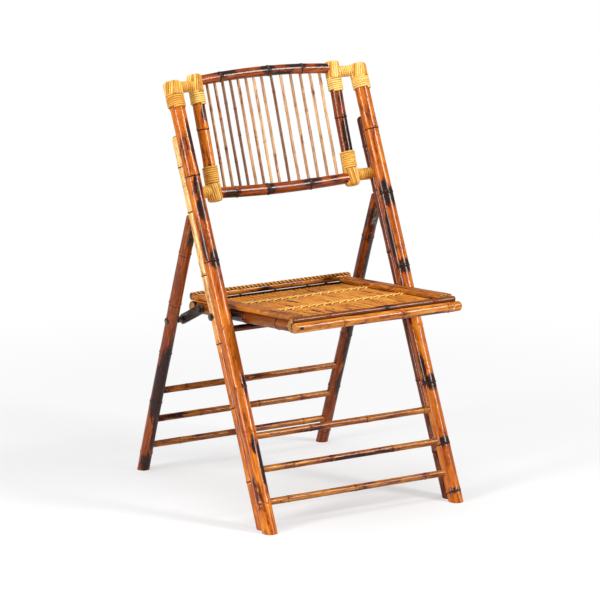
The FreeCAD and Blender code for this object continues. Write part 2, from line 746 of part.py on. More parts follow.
def least_gap(points, strand, apart):
    """Least distance between points of a strand that lie some way apart along it, less its thickness."""
    least = min(
        points[index].distanceToPoint(point)
        for index in range(len(points))
        for point in points[index + apart:]
    )
    return least - strand


def make_winding(name, core_diameter, turns):
    """A cane strand wound up round a core along +Z, starting at Z = 0."""
    strand = size["cane_diameter"]
    pitch = size["cane_pitch"]
    radius = size[core_diameter] / 2 + gap + strand / 2
    steps = turns * QUARTERS
    ends = [helix_point(radius, pitch, step) for step in range(steps + 1)]
    directions = [helix_tangent(radius, pitch, step) for step in range(steps + 1)]
    curves = [Part.LineSegment(ends[0] - directions[0] * strand, ends[0])]
    for step in range(steps):
        curves += quarter_arcs(ends[step], directions[step], ends[step + 1], directions[step + 1])
    curves.append(Part.LineSegment(ends[-1], ends[-1] + directions[-1] * strand))
    points = [point for curve in curves for point in curve.discretize(STRAND_SAMPLES)[1:]]
    per_turn = 2 * QUARTERS * (STRAND_SAMPLES - 1)
    print(name, "least gap to itself", round(least_gap(points, strand, per_turn // 2), 2))
    path = Part.Wire([curve.toShape() for curve in curves])
    circle = Part.Circle(path.Vertexes[0].Point, directions[0], strand / 2)
    shell = Part.BRepOffsetAPI.MakePipeShell(path)
    shell.add(Part.Wire(circle.toShape()))
    shell.build()
    shell.makeSolid()
    return shell.shape()


def winding_feature(name, core_diameter, turns, place):
    feature = doc.addObject("Part::Feature", name)
    feature.Shape = make_winding(name, core_diameter, turns)
    feature.Placement = place
    return feature


def winding_rise(turns):
    """Height that a winding takes along its core."""
    return turns * size["cane_pitch"] + size["cane_diameter"]


def connector_turns(length):
    """Whole turns that fit on a connector with its ends clear."""
    room = length - 2 * size["winding_clearance"] - size["cane_diameter"]
    return int(room / size["cane_pitch"])


def connector_winding(name, side, inner_face, outer_face, reach, height, diameter):
    turns = connector_turns(outer_face - inner_face)
    start = (inner_face + outer_face - turns * size["cane_pitch"]) / 2
    place = at(side * start, reach, height, outward(side))
    return winding_feature(name, diameter, turns, front_frame * place)


def make_windings():
    strand_half = half("cane_diameter")
    stile_outer = half("stile_spacing") + half("stile_diameter")
    for word, side in SIDES.items():
        below = half("top_connector_diameter") + size["winding_clearance"] + gap
        turns = size["pole_winding_turns"]
        pole_start = size["top_connector_height"] - below - winding_rise(turns) + strand_half
        pole_place = front_frame * at(side * half("pole_spacing"), 0, pole_start)
        pole = winding_feature("winding_pole_" + word, "pole_diameter", turns, pole_place)
        joint = size["panel_height"] - size["top_connector_drop"] - below
        turns = size["stile_top_winding_turns"]
        stile_start = joint - winding_rise(turns) + strand_half
        stile_place = panel_frame * at(side * half("stile_spacing"), 0, stile_start)
        stile = winding_feature("winding_stile_top_" + word, "stile_diameter", turns, stile_place)
        bridge = connector_winding(
            "winding_top_connector_" + word, side, stile_outer, size["pole_inner_face"],
            size["stile_at_top_connector"] / 2, size["top_connector_height"], "top_connector_diameter",
        )
        keep_windings("cane_winding_top_" + word, [pole, stile, bridge])
        above = size["bottom_connector_rise"] + half("bottom_connector_diameter")
        low_start = max(above, half("bottom_rail_diameter")) + size["winding_clearance"] + strand_half
        low_place = panel_frame * at(side * half("stile_spacing"), 0, low_start)
        turns = size["stile_bottom_winding_turns"]
        low = winding_feature("winding_stile_bottom_" + word, "stile_diameter", turns, low_place)
        low_bridge = connector_winding(
            "winding_bottom_connector_" + word, side, stile_outer, size["backing_inner_face"],
            size["backing_offset"], size["bottom_connector_height"], "bottom_connector_diameter",
        )
        keep_windings("cane_winding_bottom_" + word, [low, low_bridge])


def keep_windings(label, windings):
    keep(label, gather("Compound", label, windings), AT_ORIGIN)


# Rear legs
def make_rear_leg(word, side):
    name = "rear_leg_" + word
    body = culm(name, "dims.leg_diameter", "-dims.leg_foot_rise", "dims.leg_top")
    foot_cut(body, name + "_foot", "dims.leg_foot_run", "-dims.leg_foot_rise")
    reach = "dims.leg_diameter"
    for level in LEVELS:
        rung_height = f"dims.rear_rung_{level}_height"
        socket(body, f"{name}_{level}_socket", rung_height, "dims.rear_socket_diameter", reach, side)
    bore(body, name + "_link_bore", "dims.link_leg_height", "dims.rivet_bore_diameter")
    for index in range(size["screw_count"]):
        height = f"dims.hinge_leg_height - dims.screw_first_distance - {index} * dims.screw_pitch"
        cross_hole(body, f"{name}_screw_hole_{index + 1}", height, "dims.screw_bore_diameter", reach, False)
    flat = [
        ("-dims.leg_flat", "dims.hinge_leg_height - dims.leaf_bed_end"),
        ("-dims.leg_diameter", "dims.hinge_leg_height - dims.leaf_bed_end"),
        ("-dims.leg_diameter", "dims.leg_top + dims.leg_diameter"),
        ("-dims.leg_flat", "dims.leg_top + dims.leg_diameter"),
    ]
    side_cut(body, name + "_hinge_flat", flat)
    stop = [
        ("dims.stop_low_y", "dims.stop_low_z"),
        ("dims.stop_high_y", "dims.stop_high_z"),
        ("dims.stop_low_y", "dims.stop_high_z"),
    ]
    side_cut(body, name + "_stop", stop)
    keep(name, body, rear_frame * at(side * half("pole_spacing"), 0, 0))


# Hinges. Each leaf hangs down from the barrel: the pole's leaf has wood before it, the leg's behind.
def knuckle_spans(member):
    middle_half = half("middle_knuckle_length")
    outer = half("leaf_width")
    if member == "leg":
        return [(-middle_half, "dims.middle_knuckle_length")]
    return [(-outer, "dims.outer_knuckle_length"), (middle_half + gap, "dims.outer_knuckle_length")]


def make_leaf(label, member, frame, side, wood):
    """A leaf with its knuckles, wood +1 where the member lies behind the leaf and -1 before it."""
    thickness = size["leaf_thickness"]
    near = size["barrel_stand_off"] - thickness
    plate_y = near if wood > 0 else -near - thickness
    plate = primitive(
        "Box", label + "_plate", at(-half("leaf_width"), plate_y, -size["leaf_length"]),
        Length="dims.leaf_width", Width="dims.leaf_thickness", Height="dims.leaf_length - dims.leaf_start",
    )
    solids = [plate]
    for index, (start, length) in enumerate(knuckle_spans(member), start=1):
        knuckle = primitive("Cylinder", f"{label}_knuckle_{index}", at(start, 0, 0, outward(1)))
        bind(knuckle, Radius="dims.barrel_diameter / 2", Height=length)
        tongue = primitive("Box", f"{label}_tongue_{index}", at(start, plate_y, -size["leaf_start"] - gap))
        bind(tongue, Length=length, Width="dims.leaf_thickness", Height="dims.leaf_start + dims.seat_gap")
        solids += [knuckle, tongue]
    holes = [primitive("Cylinder", label + "_pin_bore", at(-size["leaf_width"], 0, 0, outward(1)))]
    bind(holes[0], Radius="dims.hinge_bore_diameter / 2", Height="2 * dims.leaf_width")
    for index in range(size["screw_count"]):
        down = size["screw_first_distance"] + index * size["screw_pitch"]
        hole_place = at(0, -size["leg_diameter"], -down, Rotation(X_AXIS, -90))
        hole = primitive("Cylinder", f"{label}_screw_bore_{index + 1}", hole_place)
        bind(hole, Radius="dims.screw_bore_diameter / 2", Height="2 * dims.leg_diameter")
        holes.append(hole)
    blank = gather("MultiFuse", label + "_blank", solids)
    leaf = cut(label, blank, gather("MultiFuse", label + "_bores", holes))
    turned = Placement(Vector(side * half("pole_spacing"), 0, 0) + hinge_point, frame.Rotation)
    keep(label, leaf, turned)


def make_screws(label, member, frame, wood):
    screws = []
    face = size["barrel_stand_off"] - size["leaf_thickness"]
    for word, side in SIDES.items():
        for index in range(size["screw_count"]):
            down = size["screw_first_distance"] + index * size["screw_pitch"]
            spot = at(side * half("pole_spacing"), wood * face, -down, Rotation(X_AXIS, -90 * wood))
            lift = at(0, 0, -size["screw_head_length"])
            name = f"{label}_{word}_{index + 1}"
            shank = primitive("Cylinder", name + "_shank", spot, Radius="dims.screw_diameter / 2")
            bind(shank, Height=f"dims.{member}_screw_length")
            head = primitive("Cylinder", name + "_head", spot * lift, Radius="dims.screw_head_diameter / 2")
            bind(head, Height="dims.screw_head_length")
            screws.append(gather("MultiFuse", name, [shank, head]))
    keep(label, gather("Compound", label, screws), Placement(hinge_point, frame.Rotation))


def stepped_pin(name, place, steps):
    """Round steps in a row along +Z, each a radius formula, a length formula and its start."""
    rounds = []
    for index, (start, radius, length) in enumerate(steps, start=1):
        step = primitive("Cylinder", f"{name}_step_{index}", place * at(0, 0, start))
        rounds.append(bind(step, Radius=radius, Height=length))
    return gather("MultiFuse", name, rounds)


def make_hinge_pins():
    pins = []
    for word, side in SIDES.items():
        place = at(side * half("pole_spacing") - half("leaf_width"), 0, 0, outward(1))
        head = "dims.hinge_pin_head_diameter / 2"
        steps = [
            (-size["hinge_pin_head_length"] - gap, head, "dims.hinge_pin_head_length"),
            (-gap, "dims.hinge_pin_diameter / 2", "dims.leaf_width + 2 * dims.seat_gap"),
            (size["leaf_width"] + gap, head, "dims.hinge_pin_head_length"),
        ]
        pins.append(stepped_pin("hinge_pin_" + word, place, steps))
    keep("hinge_pins", gather("Compound", "hinge_pins", pins), Placement(hinge_point, NO_TURN))


# Seat, in its own frame
def make_side_rail(word, side):
    """Drawn upright along the rail from the pivot to the rear, its upper side towards -Y."""
    name = "seat_side_rail_" + word
    body = culm(name, "dims.side_rail_diameter", "dims.side_rail_front", "dims.side_rail_rear")
    flat = [
        ("-dims.board_bottom", "dims.side_rail_front - dims.side_rail_diameter"),
        ("-dims.side_rail_diameter", "dims.side_rail_front - dims.side_rail_diameter"),
        ("-dims.side_rail_diameter", "dims.side_rail_rear + dims.side_rail_diameter"),
        ("-dims.board_bottom", "dims.side_rail_rear + dims.side_rail_diameter"),
    ]
    side_cut(body, name + "_flat", flat)
    notch = [
        ("-dims.notch_bottom", "dims.side_rail_front - dims.side_rail_diameter"),
        ("-dims.side_rail_diameter", "dims.side_rail_front - dims.side_rail_diameter"),
        ("-dims.side_rail_diameter", "dims.notch_rear"),
        ("-dims.notch_bottom", "dims.notch_rear"),
    ]
    side_cut(body, name + "_notch", notch)
    bore(body, name + "_pivot_bore", ON_AXIS, "dims.pivot_bore_diameter")
    bore(body, name + "_link_bore", "dims.link_seat_reach", "dims.rivet_bore_diameter")
    for bar, reach in cross_bar_reaches().items():
        sketch = sketch_on(body, f"{name}_{bar}_socket_sketch", "YZ_Plane")
        draw_circle(sketch, "dims.cross_socket_diameter", "-dims.cross_bar_rise", reach)
        pocket(body, f"{name}_{bar}_socket", sketch, "dims.side_rail_diameter", reverse=side < 0)
    keep(name, body, seat_frame * at(side * half("side_rail_spacing"), 0, 0, Rotation(X_AXIS, -90)))


def cross_bar_reaches():
    """Formulas of the cross bars' distances behind the pivot."""
    return {
        "front": "dims.board_front + dims.end_bar_inset",
        "second": "-dims.front_cane_row_reach",
        "third": "dims.rear_cane_row_reach",
        "rear": "dims.slat_rear - dims.end_bar_inset",
    }


def cross_bar_distances():
    return {
        "front": size["board_front"] + size["end_bar_inset"],
        "second": -size["front_cane_row_reach"],
        "third": size["rear_cane_row_reach"],
        "rear": size["slat_rear"] - size["end_bar_inset"],
    }


def make_seat_bar(word, reach, height, length="seat_width", shift=0.0):
    """A bar across the seat whose diameter is named after it."""
    make_cross_member("seat_" + word, seat_frame, reach, height, word + "_diameter", length, shift)


def make_seat_bars():
    overhang = half("nosing_overhang")
    make_seat_bar("nosing", -size["nosing_reach"], -size["nosing_drop"], "nosing_length", overhang)
    make_seat_bar("front_trim", -size["trim_reach"], size["trim_rise"])
    make_seat_bar("rear_rail", size["rear_rail_reach"], 0)
    make_seat_bar("rear_bar", size["rear_rail_reach"], size["rear_bar_rise"])
    height = size["cross_bar_rise"]
    for word, reach in cross_bar_distances().items():
        label = "seat_cross_bar_" + word
        make_cross_member(label, seat_frame, reach, height, "cross_bar_diameter", "cross_bar_length")


def make_boards():
    for word, side in SIDES.items():
        label = "seat_border_board_" + word
        board = primitive("Box", label, AT_ORIGIN, Length="dims.board_width")
        bind(board, Width="dims.board_length", Height="dims.board_thickness")
        left_edge = size["seat_half_width"] - size["board_width"] if side > 0 else -size["seat_half_width"]
        keep(label, board, seat_frame * at(left_edge, size["board_front"], size["board_bottom"]))


def make_slats():
    """Flat strips from front to rear, side by side, with a crowned top."""
    count = int((size["slat_zone"] + half("slat_gap")) / size["slat_pitch"])
    slats = []
    for index in range(count):
        across = (index - (count - 1) / 2) * size["slat_pitch"]
        name = f"slat_{index + 1}"
        corner = at(across - half("slat_width"), size["board_front"], size["slat_bottom"])
        strip = primitive("Box", name + "_strip", corner, Length="dims.slat_width", Width="dims.slat_length")
        bind(strip, Height="dims.slat_thickness")
        crown_height = size["slat_top"] - size["slat_crown_radius"]
        crown_start = at(across, size["board_front"] - gap, crown_height, Rotation(X_AXIS, -90))
        crown = primitive("Cylinder", name + "_crown", crown_start, Radius="dims.slat_crown_radius")
        bind(crown, Height="dims.slat_length + 2 * dims.seat_gap")
        slat = doc.addObject("Part::Common", name)
        slat.Base = strip
        slat.Tool = crown
        slats.append(slat)
    keep("seat_slats", gather("Compound", "seat_slats", slats), seat_frame)


def make_cane_rows():
    """Flat bands that cover the woven rows above the two middle cross bars."""
    rows = []
    for word in ("second", "third"):
        start = cross_bar_distances()[word] - half("cane_row_width")
        place = at(-half("cane_row_length"), start, size["slat_top"] + gap)
        row_box = primitive("Box", "cane_row_" + word, place, Length="dims.cane_row_length")
        bind(row_box, Width="dims.cane_row_width", Height="dims.cane_row_thickness")
        rows.append(row_box)
    keep("seat_cane_rows", gather("Compound", "seat_cane_rows", rows), seat_frame)


# Pivots between seat and front frame, and between links, seat and legs
def make_pivots():
    groups = {"seat_pivot_bolts": [], "seat_pivot_spacers": [], "seat_pivot_nuts": [], "link_rivets": []}
    for word, side in SIDES.items():
        axis = at(0, 0, 0, outward(side))
        groups["seat_pivot_bolts"].append(pivot_bolt(word, axis))
        groups["seat_pivot_spacers"].append(pivot_spacer(word, axis))
        groups["seat_pivot_nuts"].append(pivot_nut(word, axis))
        groups["link_rivets"].append(link_rivet(word, axis))
    seat_spot = Placement(seat_frame.Base, front_frame.Rotation)
    for label in ("seat_pivot_bolts", "seat_pivot_spacers", "seat_pivot_nuts"):
        keep(label, gather("Compound", label, groups[label]), seat_spot)
    rivets = gather("Compound", "link_rivets", groups["link_rivets"])
    keep("link_rivets", rivets, Placement(link_seat_point, seat_frame.Rotation))


def pivot_bolt(word, axis):
    """Shank from the nut's outer end to a head on the outside of the backing pole."""
    start = size["side_rail_inner_face"] - gap - size["pivot_nut_length"]
    shank = "dims.backing_outer_face - dims.side_rail_inner_face + 2 * dims.seat_gap + dims.pivot_nut_length"
    face = size["backing_outer_face"] + gap
    edge = size["pivot_head_length"] - size["head_edge"]
    steps = [
        (start, "dims.pivot_bolt_diameter / 2", shank),
        (face, "dims.pivot_head_diameter / 2", "dims.pivot_head_length - dims.head_edge"),
        (face + edge, "dims.pivot_head_diameter / 2 - dims.head_edge", "dims.head_edge"),
    ]
    return stepped_pin("pivot_bolt_" + word, axis, steps)


def pivot_spacer(word, axis):
    start = axis * at(0, 0, size["seat_half_width"] + gap)
    length = "dims.backing_inner_face - dims.seat_half_width - 2 * dims.seat_gap"
    outer = "dims.pivot_spacer_diameter"
    return ring("pivot_spacer_" + word, start, outer, "dims.pivot_bore_diameter", length)


def pivot_nut(word, axis):
    start = axis * at(0, 0, size["side_rail_inner_face"] - gap - size["pivot_nut_length"])
    length = "dims.pivot_nut_length"
    return ring("pivot_nut_" + word, start, "dims.pivot_nut_diameter", "dims.pivot_bore_diameter", length)


def ring(name, place, outer, inner, length):
    rim = primitive("Cylinder", name + "_rim", place, Radius=outer + " / 2", Height=length)
    hole = primitive("Cylinder", name + "_hole", place, Radius=inner + " / 2", Height=length)
    return cut(name, rim, hole)


def link_rivet(word, axis):
    """Head inside the rail, a shoulder between rail and strap, and a head outside the strap."""
    inner = size["side_rail_inner_face"] - gap
    rail_face = size["seat_half_width"] + gap
    outer = size["strap_outer_face"] + gap
    edge = size["rivet_head_length"] - size["head_edge"]
    head = "dims.rivet_head_diameter / 2"
    shank = "dims.strap_outer_face - dims.side_rail_inner_face + 2 * dims.seat_gap"
    steps = [
        (inner - size["rivet_head_length"], head + " - dims.head_edge", "dims.head_edge"),
        (inner - edge, head, "dims.rivet_head_length - dims.head_edge"),
        (inner, "dims.rivet_diameter / 2", shank),
        (rail_face, head, "dims.strap_stand_off - 2 * dims.seat_gap"),
        (outer, head, "dims.rivet_head_length - dims.head_edge"),
        (outer + edge, head + " - dims.head_edge", "dims.head_edge"),
    ]
    return stepped_pin("link_rivet_" + word, axis, steps)


def make_link_anchors():
    """Bolts through the legs that end just short of the straps, each with a spacer."""
    bolts = []
    spacers = []
    for word, side in SIDES.items():
        axis = at(0, 0, 0, outward(side))
        start = size["strap_outer_face"] + gap
        face = size["leg_outer_face"] + gap
        edge = size["anchor_head_length"] - size["head_edge"]
        head = "dims.rivet_head_diameter / 2"
        steps = [
            (start, "dims.rivet_diameter / 2", "dims.leg_outer_face - dims.strap_outer_face"),
            (face, head, "dims.anchor_head_length - dims.head_edge"),
            (face + edge, head + " - dims.head_edge", "dims.head_edge"),
        ]
        bolts.append(stepped_pin("link_anchor_bolt_" + word, axis, steps))
        length = "dims.leg_inner_face - dims.strap_outer_face - 2 * dims.seat_gap"
        spacer_start = axis * at(0, 0, start)
        spacer = ring("link_anchor_spacer_" + word, spacer_start, "dims.rivet_head_diameter",
                      "dims.rivet_bore_diameter", length)
        spacers.append(spacer)
    place = Placement(link_leg_point, rear_frame.Rotation)
    keep("link_anchor_bolts", gather("Compound", "link_anchor_bolts", bolts), place)
    keep("link_anchor_spacers", gather("Compound", "link_anchor_spacers", spacers), place)


def make_link_strap(word, side):
    """A flat bar with round ends, drilled at both pivots, drawn upright from its seat pivot."""
    label = "link_strap_" + word
    near_face = -half("strap_thickness")
    thickness = "dims.strap_thickness"
    bar = primitive("Box", label + "_bar", at(near_face, -half("strap_width"), 0))
    bind(bar, Length=thickness, Width="dims.strap_width", Height="dims.strap_length")
    solids = [bar]
    holes = []
    for end, height in (("seat", 0), ("leg", size["strap_length"])):
        place = at(near_face, 0, height, outward(1))
        tip = primitive("Cylinder", f"{label}_{end}_end", place, Radius="dims.strap_width / 2")
        solids.append(bind(tip, Height=thickness))
        hole = primitive("Cylinder", f"{label}_{end}_hole", place, Radius="dims.rivet_bore_diameter / 2")
        holes.append(bind(hole, Height=thickness))
    blank = gather("MultiFuse", label + "_blank", solids)
    strap = cut(label, blank, gather("MultiFuse", label + "_holes", holes))
    middle_of_strap = (size["strap_inner_face"] + size["strap_outer_face"]) / 2
    keep(label, strap, at(side * middle_of_strap, 0, 0) * link_frame)


# The chair
for word, side in SIDES.items():
    make_front_pole(word, side)
    make_backing_pole(word, side)
make_nails()
make_rungs()
make_back_panel()
make_connectors()
make_windings()
for word, side in SIDES.items():
    make_rear_leg(word, side)
    make_leaf("hinge_pole_leaf_" + word, "pole", front_frame, side, -1)
    make_leaf("hinge_leg_leaf_" + word, "leg", rear_frame, side, 1)
make_screws("hinge_pole_screws", "backing", front_frame, -1)
make_screws("hinge_leg_screws", "leg", rear_frame, 1)
make_hinge_pins()
for word, side in SIDES.items():
    make_side_rail(word, side)
make_seat_bars()
make_boards()
make_slats()
make_cane_rows()
make_pivots()
make_link_anchors()
for word, side in SIDES.items():
    make_link_strap(word, side)
doc.recompute()


# Checks, then the files
LEAST_CUT = 0.1


def check_document():
    for thing in doc.Objects:
        faults = [state for state in thing.State if state in ("Invalid", "Error")]
        if faults:
            raise RuntimeError(f"{thing.Name} failed: {thing.State}")
        if thing.TypeId == "PartDesign::Pocket":
            removed = thing.BaseFeature.Shape.Volume - thing.Shape.Volume
            if removed < LEAST_CUT:
                raise RuntimeError(f"{thing.Name} cuts nothing")
    for label, part in parts.items():
        if part.Shape.isNull() or not part.Shape.isValid():
            raise RuntimeError(f"{label} has no valid shape")


check_document()
os.makedirs("parts", exist_ok=True)
for label, part in parts.items():
    part.Shape.exportStep(f"parts/{label}.step")
print(len(parts), "nodes")
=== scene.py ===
import json
import math
import random

import bmesh
import bpy
import numpy as np
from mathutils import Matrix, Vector


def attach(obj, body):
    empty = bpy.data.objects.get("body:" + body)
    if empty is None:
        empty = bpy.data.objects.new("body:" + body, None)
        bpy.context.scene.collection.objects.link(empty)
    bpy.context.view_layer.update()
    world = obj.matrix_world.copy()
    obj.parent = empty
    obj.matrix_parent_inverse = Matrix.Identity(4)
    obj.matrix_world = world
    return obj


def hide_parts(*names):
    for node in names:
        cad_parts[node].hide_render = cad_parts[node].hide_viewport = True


# A folding chair of burnt bamboo, dressed over its frame. Metres. X runs across the chair, the
# sitter faces -Y, and Z is up. Left and right are those of a viewer who stands in front of it.

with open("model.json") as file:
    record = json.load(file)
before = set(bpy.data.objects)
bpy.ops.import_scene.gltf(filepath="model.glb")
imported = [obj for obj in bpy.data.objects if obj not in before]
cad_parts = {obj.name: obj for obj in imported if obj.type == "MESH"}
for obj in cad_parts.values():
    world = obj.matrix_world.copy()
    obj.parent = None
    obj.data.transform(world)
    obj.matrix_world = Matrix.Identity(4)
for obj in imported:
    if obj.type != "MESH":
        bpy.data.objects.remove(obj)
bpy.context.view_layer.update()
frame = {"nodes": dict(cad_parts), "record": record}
BODY_OF = {node: body for body, nodes in frame["record"]["behaviour"]["bodies"].items() for node in nodes}

MM = 0.001
ACROSS = np.array((1.0, 0.0, 0.0))
DEPTH = np.array((0.0, 1.0, 0.0))


def leaning_back(degrees):
    """Unit vector that leans back from the vertical."""
    return np.array((0.0, math.sin(math.radians(degrees)), math.cos(math.radians(degrees))))


POLE = leaning_back(25)
LEG = leaning_back(-21)
PANEL = leaning_back(20)
SEAT_BACK = leaning_back(90 + 6)
SIDES = {"left": -1, "right": 1}


# Shader trees
def linear(red, green, blue):
    """A display colour, 0 to 255, as a linear one."""
    channels = [value / 255 for value in (red, green, blue)]
    return [c / 12.92 if c <= 0.04045 else ((c + 0.055) / 1.055) ** 2.4 for c in channels] + [1.0]


# Places of the colour sockets of a mix node
MIX_FACTOR, MIX_FIRST, MIX_SECOND = 0, 6, 7
MIX_RESULT = 2


class Finish:
    """A material and short calls for its nodes."""

    def __init__(self, name, **surface):
        self.material = bpy.data.materials.new(name)
        self.material.use_nodes = True
        self.tree = self.material.node_tree
        self.tree.nodes.clear()
        self.shader = self.add("ShaderNodeBsdfPrincipled")
        self.output = self.add("ShaderNodeOutputMaterial")
        self.join(self.shader.outputs["BSDF"], self.output.inputs["Surface"])
        self.settle(self.shader, **surface)

    def add(self, kind, **settings):
        node = self.tree.nodes.new(kind)
        for key, value in settings.items():
            setattr(node, key, value)
        return node

    def settle(self, node, **values):
        """Sets a node's sockets, whose names have a low line for each space."""
        for key, value in values.items():
            node.inputs[key.replace("_", " ")].default_value = value

    def join(self, source, target):
        self.tree.links.new(source, target)

    def feed(self, socket, value):
        if isinstance(value, bpy.types.NodeSocket):
            self.join(value, socket)
        else:
            socket.default_value = value

    def attribute(self, name):
        return self.add("ShaderNodeAttribute", attribute_name=name).outputs["Vector"]

    def parts(self, vector):
        node = self.add("ShaderNodeSeparateXYZ")
        self.join(vector, node.inputs[0])
        return node.outputs

    def noise(self, vector, stretch, detail=3.0, roughness=0.5, distortion=0.0):
        """Noise with so many cells to the metre along each direction."""
        place = self.add("ShaderNodeMapping")
        self.join(vector, place.inputs["Vector"])
        self.settle(place, Scale=stretch)
        node = self.add("ShaderNodeTexNoise")
        self.join(place.outputs["Vector"], node.inputs["Vector"])
        self.settle(node, Scale=1.0, Detail=detail, Roughness=roughness, Distortion=distortion)
        return node.outputs["Fac"]

    def math(self, operation, first, second):
        node = self.add("ShaderNodeMath", operation=operation)
        self.feed(node.inputs[0], first)
        self.feed(node.inputs[1], second)
        return node.outputs[0]

    def weigh(self, *terms):
        """Sum of pairs of a value and its weight."""
        total = 0.0
        for value, weight in terms:
            total = self.math("ADD", total, self.math("MULTIPLY", value, weight))
        return total

    def between(self, value, low, high, to_low=0.0, to_high=1.0):
        node = self.add("ShaderNodeMapRange", interpolation_type="SMOOTHSTEP")
        self.feed(node.inputs["Value"], value)
        self.settle(node, From_Min=low, From_Max=high, To_Min=to_low, To_Max=to_high)
        return node.outputs["Result"]

    def ramp(self, value, *stops):
        """Display colours at places from 0 to 1."""
        node = self.add("ShaderNodeValToRGB")
        self.join(value, node.inputs["Fac"])
        elements = node.color_ramp.elements
        while len(elements) < len(stops):
            elements.new(0.5)
        for element, (place, colour) in zip(elements, stops):
            element.position = place
            element.color = linear(*colour)
        return node.outputs["Color"]

    def mix(self, factor, first, second):
        node = self.add("ShaderNodeMix", data_type="RGBA")
        self.feed(node.inputs[MIX_FACTOR], factor)
        self.feed(node.inputs[MIX_FIRST], first)
        self.feed(node.inputs[MIX_SECOND], second)
        return node.outputs[MIX_RESULT]

    def paint(self, colour, roughness):
        self.join(colour, self.shader.inputs["Base Color"])
        self.join(roughness, self.shader.inputs["Roughness"])

    def bump(self, height, distance, strength):
        node = self.add("ShaderNodeBump")
        self.join(height, node.inputs["Height"])
        self.settle(node, Distance=distance, Strength=strength)
        self.join(node.outputs["Normal"], self.shader.inputs["Normal"])


ROUGH_BASE = 0.2


def bamboo_finish(name, slot, light, middle, deep, scorched=0.0, coat=0.0):
    """Varnished bamboo: long fibres, uneven browning, scorch marks, some of them painted shade, dark rings
    and pale cut ends.

    Light, middle and deep are its colours. A pale stretch takes blond ones instead. What comes back
    is the material with its slot.
    """
    finish = Finish(name, Coat_Weight=coat, Coat_Roughness=0.1, Specular_IOR_Level=0.16)
    culm = finish.attribute("culm")
    ring, scorch_and_shade, cut = finish.parts(finish.attribute("marks"))
    pale, toast, _ = finish.parts(finish.attribute("tint"))
    fibre = finish.noise(culm, (1100, 1100, 14), 3, 0.6)
    streak = finish.noise(culm, (190, 190, 5), 4, 0.6, 0.4)
    blotch = finish.noise(culm, (62, 62, 17), 4, 0.65, 1.2)
    mottle = finish.noise(culm, (330, 330, 110), 5, 0.7, 0.6)
    tone = finish.weigh((streak, 0.8), (blotch, 0.6), (fibre, 0.3), (mottle, 0.25), (toast, 0.45))
    body = finish.ramp(finish.between(tone, 0.66, 1.3), (0.0, light), (0.45, middle), (1.0, deep))
    blond = finish.ramp(
        finish.between(tone, 0.7, 1.3),
        (0.0, (250, 226, 166)), (0.5, (226, 176, 100)), (1.0, (150, 88, 34)),
    )
    body = finish.mix(pale, body, blond)
    # On the seat rails and the rear batten, part of this darkening is painted shade.
    char = finish.weigh((scorch_and_shade, 1.0), (blotch, 2.1), (mottle, 1.3), (streak, 1.1), (1.0, scorched - 2.25))
    body = finish.mix(finish.between(char, 0.12, 0.5), body, linear(120, 46, 7))
    burnt = finish.ramp(
        finish.between(mottle, 0.35, 0.7),
        (0.0, (62, 23, 6)), (0.6, (32, 12, 5)), (1.0, (16, 7, 4)),
    )
    colour = finish.mix(finish.between(char, 0.42, 0.68), body, burnt)
    edge = finish.between(finish.weigh((ring, 1.0), (mottle, 0.6)), 0.9, 1.12)
    colour = finish.mix(edge, colour, linear(34, 13, 6))
    end_grain = finish.ramp(mottle, (0.3, (206, 152, 88)), (0.7, (120, 66, 30)))
    colour = finish.mix(finish.between(cut, 0.4, 0.9), colour, end_grain)
    finish.paint(colour, finish.weigh((mottle, 0.22), (fibre, 0.12), (cut, 0.3), (1.0, ROUGH_BASE)))
    finish.bump(finish.weigh((fibre, 0.5), (streak, 0.8), (mottle, 0.35)), 0.35 * MM, 0.6)
    return finish.material, slot


def cane_finish(name, light, middle, deep):
    """Split cane: pale fibres along the strand, with painted shade darkening its edges where strands meet,
    each strand of its own tone.
    """
    finish = Finish(name, Coat_Weight=0.08, Coat_Roughness=0.25, Specular_IOR_Level=0.2)
    strand = finish.attribute("culm")
    tone, edge, shade = finish.parts(finish.attribute("marks"))
    fibre = finish.noise(strand, (1700, 1700, 40), 3, 0.6)
    patch = finish.noise(strand, (240, 240, 60), 4, 0.6, 0.5)
    value = finish.weigh((tone, 0.5), (patch, 0.6), (fibre, 0.35))
    colour = finish.ramp(finish.between(value, 0.35, 1.1), (0.0, light), (0.5, middle), (1.0, deep))
    # Painted shade: each strand turns darker towards its flat sides, in the gaps where strands meet.
    gap_shade = finish.between(finish.weigh((edge, 1.0), (fibre, 0.3)), 0.45, 0.95)
    colour = finish.mix(finish.math("MULTIPLY", gap_shade, 0.9), colour, linear(112, 60, 16))
    colour = finish.mix(shade, colour, linear(92, 44, 14))
    finish.paint(colour, finish.weigh((patch, 0.25), (fibre, 0.2), (1.0, 0.3)))
    finish.bump(finish.weigh((fibre, 1.0), (patch, 0.6)), 0.3 * MM, 0.7)
    return finish.material, "cane"


def steel_finish():
    """Dull plated steel with brushed lines, tarnish and a little rust where it is worn."""
    finish = Finish("dull_steel", Metallic=0.9)
    place = finish.add("ShaderNodeTexCoord").outputs["Object"]
    brushed = finish.noise(place, (1500, 90, 90), 3)
    tarnish = finish.noise(place, (120, 120, 120), 5, 0.65, 0.8)
    colour = finish.ramp(
        finish.weigh((tarnish, 0.8), (brushed, 0.25)),
        (0.3, (150, 146, 138)), (0.5, (104, 98, 90)), (0.68, (60, 48, 40)),
    )
    finish.paint(colour, finish.weigh((tarnish, 0.5), (brushed, 0.25)))
    finish.bump(brushed, 0.08 * MM, 0.5)
    return finish.material


